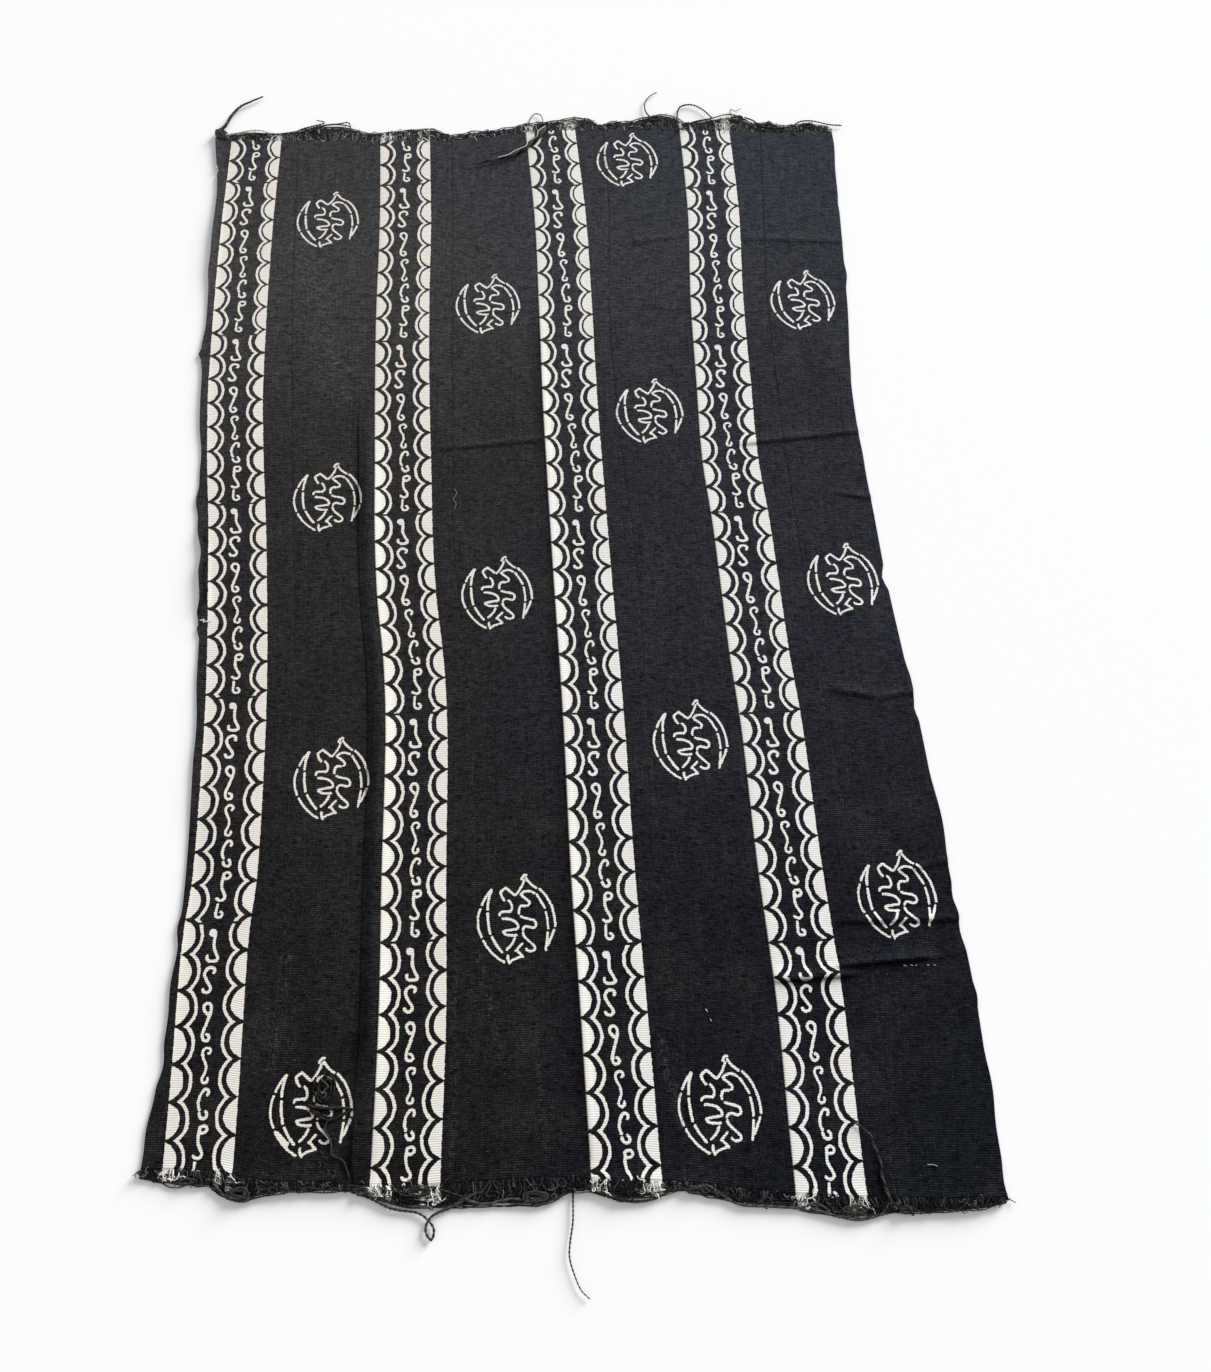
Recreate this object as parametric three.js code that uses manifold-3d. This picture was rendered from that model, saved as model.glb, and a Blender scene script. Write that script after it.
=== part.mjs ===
// Mud cloth of eight hand-woven strips sewn edge to edge, laid out on a floor.
// Millimetres, +Z up. +Y runs along the strips, from the near frayed end to the far one.
import * as THREE from 'three';
import { mergeVertices } from 'three/addons/utils/BufferGeometryUtils.js';
import Module from 'manifold-3d';

const wasm = await Module();
wasm.setup();

// Driving dimensions
const clothThick = 1.6;
const gap = 0.36;
const maxStep = 44;
const leastRowStep = 2.2;
const leastColumnRoom = 2;
const ridgeWave = { length: 58, share: 0.15 };
const backingDepth = 3.2;
const yarnHeight = 1.3;
const yarnSwell = 0.3;
const yarnLift = 0.45;
const yarnStep = 12;
const yarnReach = 3;
const yarnTip = 0.6;
const rootHeight = 0.2;
const strandTop = 0.3;
const leastHeight = 0.5;
const weldDistance = 1e-4;
const creaseRoom = 6;
const farFoot = 0.45;

const lines = ['left', 's12', 's23', 's34', 's45', 's56', 's67', 's78', 'right'];

// Where the outer edges and the seams run: x of each line at stations along the cloth
const stations = [
  { y: 840, left: -537, s12: -398, s23: -260, s34: -138, s45: -15, s56: 117, s67: 246, s78: 385, right: 503 },
  { y: 640, left: -527, s12: -394, s23: -256, s34: -137, s45: -3, s56: 119, s67: 248, s78: 372, right: 497 },
  { y: 460, left: -523, s12: -389, s23: -257, s34: -136, s45: 0, s56: 111, s67: 240, s78: 362, right: 488 },
  { y: 300, left: -520, s12: -381, s23: -255, s34: -136, s45: 1, s56: 113, s67: 238, s78: 361, right: 476 },
  { y: 170, left: -511, s12: -374, s23: -251, s34: -135, s45: 4, s56: 119, s67: 237, s78: 363, right: 477 },
  { y: 60, left: -505, s12: -367, s23: -248, s34: -134, s45: 7, s56: 127, s67: 244, s78: 366, right: 482 },
  { y: -40, left: -493, s12: -359, s23: -242, s34: -127, s45: 10, s56: 131, s67: 248, s78: 370, right: 486 },
  { y: -150, left: -489, s12: -355, s23: -230, s34: -115, s45: 14, s56: 133, s67: 252, s78: 374, right: 494 },
  { y: -260, left: -484, s12: -351, s23: -225, s34: -105, s45: 17, s56: 135, s67: 259, s78: 380, right: 503 },
  { y: -450, left: -481, s12: -344, s23: -226, s34: -103, s45: 20, s56: 142, s67: 264, s78: 391, right: 512 },
  { y: -620, left: -488, s12: -354, s23: -225, s34: -108, s45: 26, s56: 144, s67: 272, s78: 400, right: 522 },
  { y: -780, left: -504, s12: -365, s23: -230, s34: -115, s45: 31, s56: 145, s67: 273, s78: 395, right: 523 },
  { y: -870, left: -511, s12: -368, s23: -233, s34: -119, s45: 34, s56: 146, s67: 274, s78: 392, right: 525 },
];

// Where the weave ends and how far the frayed yarns reach, at stations across the cloth
const ends = [
  { x: -540, far: 834, near: -787, farTip: 846, nearTip: -797 },
  { x: -490, far: 830, near: -789, farTip: 837, nearTip: -803 },
  { x: -430, far: 826, near: -792, farTip: 842, nearTip: -811 },
  { x: -395, far: 825, near: -799, farTip: 850, nearTip: -827 },
  { x: -345, far: 823, near: -808, farTip: 857, nearTip: -822 },
  { x: -285, far: 820, near: -811, farTip: 845, nearTip: -825 },
  { x: -250, far: 818, near: -816, farTip: 833, nearTip: -824 },
  { x: -195, far: 815, near: -819, farTip: 839, nearTip: -843 },
  { x: -150, far: 814, near: -820, farTip: 824, nearTip: -853 },
  { x: -110, far: 817, near: -819, farTip: 825, nearTip: -846 },
  { x: -20, far: 825, near: -818, farTip: 841, nearTip: -844 },
  { x: 35, far: 826, near: -822, farTip: 854, nearTip: -839 },
  { x: 90, far: 826, near: -825, farTip: 852, nearTip: -848 },
  { x: 130, far: 826, near: -829, farTip: 838, nearTip: -839 },
  { x: 215, far: 821, near: -840, farTip: 856, nearTip: -859 },
  { x: 255, far: 818, near: -847, farTip: 834, nearTip: -860 },
  { x: 300, far: 814, near: -852, farTip: 845, nearTip: -873 },
  { x: 342, far: 812, near: -855, farTip: 857, nearTip: -880 },
  { x: 395, far: 807, near: -858, farTip: 827, nearTip: -876 },
  { x: 435, far: 804, near: -861, farTip: 813, nearTip: -872 },
  { x: 475, far: 803, near: -862, farTip: 827, nearTip: -870 },
  { x: 530, far: 804, near: -864, farTip: 813, nearTip: -868 },
];

// Long soft ridges beside a line, with the width of each slope
const ridges = [
  { line: 's23', offset: -10, far: 330, near: -795, height: 6.5, leftSlope: 15, rightSlope: 27, fade: 190 },
  { line: 's45', offset: 0, far: 500, near: -810, height: 3.2, leftSlope: 15, rightSlope: 12, fade: 120 },
  { line: 'left', offset: 0, far: 92, near: -78, height: 4.5, leftSlope: 4, rightSlope: 17, fade: 45 },
];

// Cross creases from one point to another, with the width of each slope
const creases = [
  { x0: 128, y0: 577, x1: 262, y1: 595, height: 1.4, farSlope: 15, nearSlope: 9, fade: 30 },
  { x0: 322, y0: 583, x1: 515, y1: 566, height: 1.6, farSlope: 15, nearSlope: 9, fade: 30 },
  { x0: -176, y0: 203, x1: 32, y1: 216, height: 2.2, farSlope: 14, nearSlope: 7, fade: 40 },
  { x0: 282, y0: 192, x1: 500, y1: 208, height: 3, farSlope: 16, nearSlope: 7, fade: 40 },
  { x0: 418, y0: 104, x1: 505, y1: 86, height: 2.4, farSlope: 11, nearSlope: 6, fade: 30 },
  { x0: -76, y0: -235, x1: 4, y1: -218, height: 1.1, farSlope: 11, nearSlope: 8, fade: 25 },
  { x0: 372, y0: -204, x1: 462, y1: -226, height: 3.2, farSlope: 15, nearSlope: 7, fade: 30 },
  { x0: 444, y0: -227, x1: 530, y1: -210, height: 3.2, farSlope: 15, nearSlope: 7, fade: 25 },
  { x0: 436, y0: -468, x1: 535, y1: -451, height: 2.4, farSlope: 13, nearSlope: 7, fade: 30 },
  { x0: 346, y0: -527, x1: 545, y1: -531, height: 3.4, farSlope: 15, nearSlope: 7, fade: 45 },
  { x0: 258, y0: -598, x1: 392, y1: -594, height: 5.5, farSlope: 20, nearSlope: 6, fade: 34 },
  { x0: 350, y0: -583, x1: 492, y1: -583, height: 6.5, farSlope: 22, nearSlope: 6, fade: 38 },
];

// Low swells between the folds: centre, half sizes and height
const swells = [
  { x: -300, y: -580, halfX: 42, halfY: 150, height: 2.2 },
  { x: -62, y: -640, halfX: 46, halfY: 120, height: 2.6 },
  { x: 205, y: -80, halfX: 46, halfY: 130, height: 2 },
  { x: 440, y: 340, halfX: 40, halfY: 95, height: 2.4 },
  { x: 438, y: -100, halfX: 48, halfY: 75, height: 2.6 },
  { x: 452, y: -395, halfX: 52, halfY: 60, height: 3 },
  { x: 470, y: -700, halfX: 44, halfY: 85, height: 2 },
  { x: -450, y: -330, halfX: 30, halfY: 120, height: 1.6 },
];

// Long loose yarns that come out of a frayed end: a route chosen by hand, and the yarn's width
const looseYarns = [
  {
    end: 'far', onCloth: false, width: 3.4,
    route: [[-526, 834], [-527, 851], [-515, 877], [-493, 903], [-464, 925]],
  },
  {
    end: 'far', onCloth: false, width: 2.2,
    route: [[206, 823], [206, 858], [191, 878], [213, 900]],
  },
  {
    end: 'far', onCloth: false, width: 2.4,
    route: [[248, 820], [247, 856], [276, 868], [305, 847], [311, 816]],
  },
  {
    end: 'far', onCloth: true, width: 4.6,
    route: [[14, 829], [14, 826.8], [10, 815], [-5, 803], [-36, 778], [-57, 764], [-84, 756], [-108, 750]],
  },
  {
    end: 'near', onCloth: false, width: 2.2,
    route: [[9, -821], [9, -874], [3, -905], [11, -927], [25, -949]],
  },
  {
    end: 'near', onCloth: false, width: 2.6,
    route: [[-172, -822], [-164, -858], [-155, -880], [-149, -857], [-133, -822]],
  },
  {
    end: 'near', onCloth: true, width: 3.2,
    route: [
      [383, -860.8], [383, -858.3], [381, -848], [378, -834], [381, -805], [373, -780], [393, -776],
      [414, -784], [443, -786],
    ],
  },
];

// The tangle of yarn on the second strip: a curl, its foot, and a bundle across it
const tangle = {
  centre: [-287, -704], stretch: [8, 12], firstTurn: 0.5, lastTurn: 5.6, turnSteps: 11,
  curlWidth: 5, curlHeight: 3.4, foot: [-280, -732.5],
  bundle: [[-309, -723], [-298, -726], [-283, -733], [-270, -731], [-258, -728]],
  bundleWidth: 5.5, bundleHeight: 3, curlTip: 0.8, bundleTip: 0.7,
};

// The warp ends of a frayed end: how many, and how unevenly they lie
const fray = {
  far: 104, near: 120, margin: 5, rootShare: 0.45, clearOfYarn: 5, least: 5,
  scatterX: 0.22, scatterTip: 1.5, width: 1.9, scatterWidth: 0.5, height: 1.15, tipShare: 0.55,
  lean: 0.28, leanWave: 47, scatterLean: 0.1, bend: 0.18, elbow: 0.5, lock: 3,
  seeds: { end: 300, tip: 3, lean: 5, width: 7, lock: 31 },
};

const colours = { cloth: 0x2b2b2e, yarn: 0x3a393b, tangle: 0x55514e };
const roughness = 0.95;

// Cubic through a table's stations, with the slope at each one taken from its neighbours
function throughTable(rows, at, key, where) {
  let i = 0;
  const rising = rows[1][at] > rows[0][at];
  while (i < rows.length - 2 && (rising ? where > rows[i + 1][at] : where < rows[i + 1][at])) i++;
  const slope = (j) => {
    const a = rows[Math.max(0, j - 1)];
    const b = rows[Math.min(rows.length - 1, j + 1)];
    return (b[key] - a[key]) / (b[at] - a[at]);
  };
  const p = rows[i];
  const q = rows[i + 1];
  const span = q[at] - p[at];
  const t = (where - p[at]) / span;
  const h1 = t * t * (3 - 2 * t);
  const h2 = t * (1 - t) * (1 - t) * span;
  const h3 = t * t * (t - 1) * span;
  return p[key] * (1 - h1) + q[key] * h1 + slope(i) * h2 + slope(i + 1) * h3;
}

const lineX = (name, y) => throughTable(stations, 'y', name, y);
const endY = (name, x) => throughTable(ends, 'x', name, x);

// A soft hump: 1 at its crest, 0 from the foot of each slope on
function hump(t, lowSlope, highSlope) {
  const part = Math.min(1, Math.abs(t) / (t < 0 ? lowSlope : highSlope));
  return Math.cos(part * Math.PI / 2) ** 2;
}

const smoothStep = (t) => {
  const c = Math.min(1, Math.max(0, t));
  return c * c * (3 - 2 * c);
};

// Height of the cloth's underside over the floor
function rise(x, y) {
  let height = 0;
  for (const ridge of ridges) {
    const along = smoothStep((ridge.far - y) / ridge.fade) * smoothStep((y - ridge.near) / ridge.fade);
    if (along === 0) continue;
    const side = x - lineX(ridge.line, y) - ridge.offset;
    const uneven = 1 - ridgeWave.share * (1 - Math.sin(y / ridgeWave.length + ridge.height));
    height += ridge.height * uneven * along * hump(side, ridge.leftSlope, ridge.rightSlope);
  }
  for (const crease of creases) {
    const length = Math.hypot(crease.x1 - crease.x0, crease.y1 - crease.y0);
    const ux = (crease.x1 - crease.x0) / length;
    const uy = (crease.y1 - crease.y0) / length;
    const along = (x - crease.x0) * ux + (y - crease.y0) * uy;
    const side = (y - crease.y0) * ux - (x - crease.x0) * uy;
    const fade = smoothStep(along / crease.fade) * smoothStep((length - along) / crease.fade);
    height += crease.height * fade * hump(side, crease.nearSlope, crease.farSlope);
  }
  for (const swell of swells) {
    const far = Math.hypot((x - swell.x) / swell.halfX, (y - swell.y) / swell.halfY);
    height += swell.height * hump(far, 1, 1);
  }
  return height;
}

// Columns of a strip: where each lies between the strip's two side lines
function stripColumns(index) {
  const names = [lines[index], lines[index + 1]];
  const fixed = [{ share: 0, shift: gap / 2 }, { share: 1, shift: -gap / 2 }];
  for (const ridge of ridges) {
    const side = names.indexOf(ridge.line);
    if (side < 0) continue;
    const feet = [-ridge.leftSlope, -ridge.leftSlope / 2, 0, ridge.rightSlope / 2, ridge.rightSlope];
    for (const foot of feet) {
      const shift = ridge.offset + foot;
      const inside = side === 0 ? shift > leastColumnRoom : shift < -leastColumnRoom;
      if (inside) fixed.push({ share: side, shift });
    }
  }
  const width = lineX(names[1], 0) - lineX(names[0], 0);
  fixed.sort((a, b) => (a.share - b.share) * width + a.shift - b.shift);
  const columns = [fixed[0]];
  for (let i = 1; i < fixed.length; i++) {
    const before = fixed[i - 1];
    const after = fixed[i];
    const room = (after.share - before.share) * width + after.shift - before.shift;
    const count = Math.ceil(room / maxStep);
    for (let j = 1; j <= count; j++) {
      const mix = j / count;
      columns.push({
        share: before.share + (after.share - before.share) * mix,
        shift: before.shift + (after.shift - before.shift) * mix,
      });
    }
  }
  return columns;
}

function columnX(index, column, y) {
  const left = lineX(lines[index], y);
  const right = lineX(lines[index + 1], y);
  return left + (right - left) * column.share + column.shift;
}

// Where a column meets the weave's end
function endPoint(index, column, end) {
  let x = columnX(index, column, endY(end, lineX(lines[index], 0)));
  x = columnX(index, column, endY(end, x));
  return [x, endY(end, x)];
}

// Rows of a strip as heights at its left and right side, close together at each crease
function stripRows(index) {
  const leftX = lineX(lines[index], 0);
  const rightX = lineX(lines[index + 1], 0);
  const fixed = [];
  for (const crease of creases) {
    const pitch = (crease.y1 - crease.y0) / (crease.x1 - crease.x0);
    const sideLeft = lineX(lines[index], crease.y0);
    const sideRight = lineX(lines[index + 1], crease.y0);
    if (sideRight < crease.x0 + creaseRoom || sideLeft > crease.x1 - creaseRoom) continue;
    const feet = [-crease.nearSlope, -crease.nearSlope / 2, 0, crease.farSlope * farFoot, crease.farSlope];
    for (const foot of feet) {
      fixed.push({
        left: crease.y0 + pitch * (sideLeft - crease.x0) + foot,
        right: crease.y0 + pitch * (sideRight - crease.x0) + foot,
      });
    }
  }
  fixed.sort((a, b) => a.left + a.right - b.left - b.right);
  const first = { left: endY('near', leftX), right: endY('near', rightX) };
  const last = { left: endY('far', leftX), right: endY('far', rightX) };
  const rows = [first];
  for (const next of [...fixed, last]) {
    const before = rows[rows.length - 1];
    const roomLeft = next.left - before.left;
    const roomRight = next.right - before.right;
    if (Math.min(roomLeft, roomRight) < leastRowStep) continue;
    const count = Math.ceil(Math.max(roomLeft, roomRight) / maxStep);
    for (let j = 1; j <= count; j++) {
      rows.push({ left: before.left + roomLeft * j / count, right: before.right + roomRight * j / count });
    }
  }
  return rows;
}

// A closed mesh from a grid of top points and a grid of bottom points
function closedSheet(tops, bottoms) {
  const rowCount = tops.length;
  const columnCount = tops[0].length;
  const points = [...tops.flat(), ...bottoms.flat()];
  const top = (r, c) => r * columnCount + c;
  const under = (r, c) => (rowCount + r) * columnCount + c;
  const faces = [];
  const quad = (a, b, c, d) => faces.push(a, b, c, a, c, d);
  for (let r = 0; r < rowCount - 1; r++) {
    for (let c = 0; c < columnCount - 1; c++) {
      quad(top(r, c), top(r, c + 1), top(r + 1, c + 1), top(r + 1, c));
      quad(under(r, c), under(r + 1, c), under(r + 1, c + 1), under(r, c + 1));
    }
    quad(under(r, 0), top(r, 0), top(r + 1, 0), under(r + 1, 0));
    const e = columnCount - 1;
    quad(top(r, e), under(r, e), under(r + 1, e), top(r + 1, e));
  }
  for (let c = 0; c < columnCount - 1; c++) {
    const e = rowCount - 1;
    quad(under(0, c), under(0, c + 1), top(0, c + 1), top(0, c));
    quad(top(e, c), top(e, c + 1), under(e, c + 1), under(e, c));
  }
  const geometry = new THREE.BufferGeometry();
  geometry.setAttribute('position', new THREE.Float32BufferAttribute(points.flat(), 3));
  geometry.setIndex(faces);
  return geometry;
}

function stripSheet(index) {
  const columns = stripColumns(index);
  const rows = stripRows(index);
  const tops = [];
  const bottoms = [];
  rows.forEach((row, r) => {
    const topRow = [];
    const bottomRow = [];
    columns.forEach((column, c) => {
      const between = row.left + (row.right - row.left) * c / (columns.length - 1);
      let [x, y] = [columnX(index, column, between), between];
      if (r === 0) [x, y] = endPoint(index, column, 'near');
      if (r === rows.length - 1) [x, y] = endPoint(index, column, 'far');
      const z = rise(x, y);
      topRow.push([x, y, z + clothThick]);
      bottomRow.push([x, y, z]);
    });
    tops.push(topRow);
    bottoms.push(bottomRow);
  });
  return closedSheet(tops, bottoms);
}

// A yarn of three or four sides along a route of [x, y, z] base points, thinner at its tip
function strand(route, width, height, sides, tipShare) {
  const section = sides === 3
    ? [[-0.5, 0], [0.5, 0], [0, 1]]
    : [[-0.5, 0], [0.5, 0], [strandTop, 1], [-strandTop, 1]];
  const rings = route.map((point, i) => {
    const before = route[Math.max(0, i - 1)];
    const after = route[Math.min(route.length - 1, i + 1)];
    const heading = Math.atan2(after[1] - before[1], after[0] - before[0]);
    const share = 1 + (tipShare - 1) * i / (route.length - 1);
    return section.map(([across, up]) => [
      point[0] + Math.sin(heading) * across * width * share,
      point[1] - Math.cos(heading) * across * width * share,
      point[2] + up * height * (leastHeight + (1 - leastHeight) * share),
    ]);
  });
  const faces = [];
  for (let i = 0; i < rings.length - 1; i++) {
    for (let s = 0; s < sides; s++) {
      const a = i * sides + s;
      const b = i * sides + (s + 1) % sides;
      faces.push(a, a + sides, b + sides, a, b + sides, b);
    }
  }
  const e = (rings.length - 1) * sides;
  for (let s = 1; s < sides - 1; s++) {
    faces.push(0, s, s + 1);
    faces.push(e, e + s + 1, e + s);
  }
  const geometry = new THREE.BufferGeometry();
  geometry.setAttribute('position', new THREE.Float32BufferAttribute(rings.flat(2), 3));
  geometry.setIndex(faces);
  return geometry;
}

function toSolid(geometry) {
  const bare = geometry.clone();
  bare.deleteAttribute('normal');
  bare.deleteAttribute('uv');
  const merged = mergeVertices(bare, weldDistance);
  return new wasm.Manifold(new wasm.Mesh({
    numProp: 3,
    vertProperties: new Float32Array(merged.attributes.position.array),
    triVerts: new Uint32Array(merged.index.array),
  }));
}

function joined(geometries) {
  const whole = geometries.map(toSolid).reduce((sum, solid) => sum.add(solid));
  const mesh = whole.getMesh();
  const geometry = new THREE.BufferGeometry();
  geometry.setAttribute('position', new THREE.Float32BufferAttribute(mesh.vertProperties, 3));
  geometry.setIndex([...mesh.triVerts]);
  return geometry;
}

// Repeatable scatter between -1 and 1
const chance = { turn: 12.9898, start: 4.1414, spread: 43758.5453 };
const scatter = (n) => {
  const s = Math.sin(n * chance.turn + chance.start) * chance.spread;
  return (s - Math.floor(s)) * 2 - 1;
};

// Base points of a loose yarn, over the cloth where it lies on the cloth
function yarnRoute(yarn) {
  const fine = [];
  for (let i = 0; i < yarn.route.length - 1; i++) {
    const [x0, y0] = yarn.route[i];
    const [x1, y1] = yarn.route[i + 1];
    const count = yarn.onCloth ? Math.ceil(Math.hypot(x1 - x0, y1 - y0) / yarnStep) : 1;
    for (let j = 0; j < count; j++) fine.push([x0 + (x1 - x0) * j / count, y0 + (y1 - y0) * j / count]);
  }
  fine.push(yarn.route[yarn.route.length - 1]);
  return fine.map(([x, y], i) => {
    if (!yarn.onCloth) return [x, y, 0];
    if (i === 0) return [x, y, rootHeight];
    const beside = [[0, 0], [yarnReach, 0], [-yarnReach, 0], [0, yarnReach], [0, -yarnReach]];
    const around = beside.map(([dx, dy]) => rise(x + dx, y + dy));
    return [x, y, Math.max(...around) + clothThick + yarnLift];
  });
}

// Shortest way in plan from a point to a route
function wayTo(route, x, y) {
  let best = Infinity;
  for (let i = 0; i < route.length - 1; i++) {
    const [ax, ay] = route[i];
    const dx = route[i + 1][0] - ax;
    const dy = route[i + 1][1] - ay;
    const t = Math.min(1, Math.max(0, ((x - ax) * dx + (y - ay) * dy) / (dx * dx + dy * dy)));
    best = Math.min(best, Math.hypot(x - ax - t * dx, y - ay - t * dy));
  }
  return best;
}

// The frayed end: a narrow strip of the last wefts, with the warp ends and loose yarns rooted in it
function frayedEnd(end) {
  const out = end === 'far' ? 1 : -1;
  const inner = [];
  for (let index = 0; index < lines.length - 1; index++) {
    for (const column of stripColumns(index)) {
      const [x, y] = endPoint(index, column, end);
      inner.push([x, y + out * gap]);
    }
  }
  const tops = [];
  const bottoms = [];
  const across = out > 0 ? [0, backingDepth] : [-backingDepth, 0];
  for (const depth of across) {
    tops.push(inner.map(([x, y]) => [x, y + depth, yarnHeight]));
    bottoms.push(inner.map(([x, y]) => [x, y + depth, 0]));
  }
  const pieces = [closedSheet(tops, bottoms)];

  const yarns = looseYarns.filter((yarn) => yarn.end === end);
  for (const yarn of yarns) {
    pieces.push(strand(yarnRoute(yarn), yarn.width, yarnHeight + yarn.width * yarnSwell, 4, yarnTip));
  }

  const from = inner[0][0] + fray.margin;
  const to = inner[inner.length - 1][0] - fray.margin;
  for (let i = 0; i < fray[end]; i++) {
    const seed = i + out * fray.seeds.end;
    const place = from + (to - from) * (i + fray.scatterX * scatter(seed)) / (fray[end] - 1);
    const rootX = Math.min(to, Math.max(from, place));
    const rootY = endY(end, rootX) + out * (gap + backingDepth * fray.rootShare);
    const tipY = endY(`${end}Tip`, rootX) + fray.scatterTip * scatter(seed * fray.seeds.tip);
    const long = Math.max(fray.least, Math.abs(tipY - rootY));
    const wave = fray.lean * Math.sin(rootX / fray.leanWave + out);
    const lean = wave + fray.scatterLean * scatter(seed * fray.seeds.lean);
    const bend = fray.bend * scatter(Math.floor(i / fray.lock) + fray.seeds.lock);
    const route = [
      [rootX, rootY, 0],
      [rootX + long * fray.elbow * (lean - bend), rootY + out * long * fray.elbow, 0],
      [rootX + long * lean, rootY + out * long, 0],
    ];
    const width = fray.width + fray.scatterWidth * scatter(seed * fray.seeds.width);
    const clear = yarns.every((yarn) => route.every(([x, y]) => wayTo(yarn.route, x, y) > fray.clearOfYarn));
    if (clear) pieces.push(strand(route, width, fray.height, 3, fray.tipShare));
  }
  return joined(pieces);
}

function yarnTangle() {
  const overCloth = ([x, y]) => [x, y, rise(x, y) + clothThick + yarnLift];
  const curl = [];
  for (let i = 0; i <= tangle.turnSteps; i++) {
    const turn = tangle.firstTurn + (tangle.lastTurn - tangle.firstTurn) * i / tangle.turnSteps;
    const x = tangle.centre[0] + tangle.stretch[0] * Math.cos(turn);
    const y = tangle.centre[1] + tangle.stretch[1] * Math.sin(turn);
    curl.push(overCloth([x, y]));
  }
  curl.push(overCloth(tangle.foot));
  return joined([
    strand(curl, tangle.curlWidth, tangle.curlHeight, 4, tangle.curlTip),
    strand(tangle.bundle.map(overCloth), tangle.bundleWidth, tangle.bundleHeight, 4, tangle.bundleTip),
  ]);
}

const group = new THREE.Group();
function addPiece(name, geometry, colour) {
  const material = new THREE.MeshStandardMaterial({ color: colour, roughness, metalness: 0 });
  const mesh = new THREE.Mesh(geometry, material);
  mesh.name = name;
  group.add(mesh);
}

for (let index = 0; index < lines.length - 1; index++) {
  addPiece(`strip_${index + 1}`, stripSheet(index), colours.cloth);
}
addPiece('frayed_end_far', frayedEnd('far'), colours.yarn);
addPiece('frayed_end_near', frayedEnd('near'), colours.yarn);
addPiece('yarn_tangle', yarnTangle(), colours.tangle);

// The part's frame has its origin under the middle of the box round all pieces
const box = new THREE.Box3().setFromObject(group);
const middle = box.getCenter(new THREE.Vector3());
for (const mesh of group.children) mesh.geometry.translate(-middle.x, -middle.y, -box.min.z);

export default group;
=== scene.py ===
import math
import bpy
import numpy as np
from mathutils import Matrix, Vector


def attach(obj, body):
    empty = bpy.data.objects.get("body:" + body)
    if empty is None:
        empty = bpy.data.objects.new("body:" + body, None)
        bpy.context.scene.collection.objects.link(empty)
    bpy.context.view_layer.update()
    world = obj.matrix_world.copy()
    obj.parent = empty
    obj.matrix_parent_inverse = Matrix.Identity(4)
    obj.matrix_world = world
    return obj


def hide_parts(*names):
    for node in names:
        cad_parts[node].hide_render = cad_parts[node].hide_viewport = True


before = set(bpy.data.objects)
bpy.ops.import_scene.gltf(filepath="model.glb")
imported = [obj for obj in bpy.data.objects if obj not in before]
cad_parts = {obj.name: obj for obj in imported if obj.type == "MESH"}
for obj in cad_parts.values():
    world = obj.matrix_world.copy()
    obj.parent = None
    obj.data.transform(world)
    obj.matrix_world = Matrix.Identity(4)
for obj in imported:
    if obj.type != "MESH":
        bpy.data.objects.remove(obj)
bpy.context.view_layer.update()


def addObject(name, data):
    thing = bpy.data.objects.new(name, data)
    bpy.context.scene.collection.objects.link(thing)
    return thing


# camera, light and floor
view = {
    "place": (0.0616, -0.7995, 1.560),
    "down": 68.24344,  # degrees below the horizon
    "roll": -0.57194,
    "turn": -1.976494,
    "focal": 1213.0,  # in pixels of a frame 1372 high
}


def addCamera():
    down, roll, turn = (math.radians(view[key]) for key in ("down", "roll", "turn"))
    right = Vector((math.cos(turn), math.sin(turn), 0))
    ahead = Vector((-math.sin(turn), math.cos(turn), 0))
    look = ahead * math.cos(down) - Vector((0, 0, math.sin(down)))
    up = ahead * math.sin(down) + Vector((0, 0, math.cos(down)))
    sideways = right * math.cos(roll) + up * math.sin(roll)
    upright = up * math.cos(roll) - right * math.sin(roll)
    data = bpy.data.cameras.new("viewCamera")
    data.sensor_fit = "VERTICAL"
    data.sensor_height = 36
    data.lens = 36 * view["focal"] / 1372
    data.clip_start = 0.01
    camera = addObject("viewCamera", data)
    for column, axis in enumerate((sideways, upright, -look)):
        for row in range(3):
            camera.matrix_world[row][column] = axis[row]
    camera.matrix_world.translation = Vector(view["place"])
    bpy.context.scene.camera = camera


light = {
    "sky": 0.54,
    "sunFrom": (0.70, 0.71),
    "sunHeight": 18.0,  # degrees above the floor
    "sunSpread": 28.0,
    "sunStrength": 5.2,
}


def addLights():
    world = bpy.data.worlds.new("studio")
    world.use_nodes = True
    background = world.node_tree.nodes["Background"]
    background.inputs["Color"].default_value = (1.0, 1.0, 1.0, 1.0)
    background.inputs["Strength"].default_value = light["sky"]
    bpy.context.scene.world = world
    data = bpy.data.lights.new("lowWindow", "SUN")
    data.angle = math.radians(light["sunSpread"])
    data.energy = light["sunStrength"]
    lamp = addObject("lowWindow", data)
    height = math.radians(light["sunHeight"])
    across = Vector(light["sunFrom"]).normalized() * math.cos(height)
    toward = Vector((-across.x, -across.y, -math.sin(height)))
    lamp.rotation_euler = toward.to_track_quat("-Z", "Y").to_euler()
    lamp.location = (2.0, 1.6, 1.2)


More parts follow.
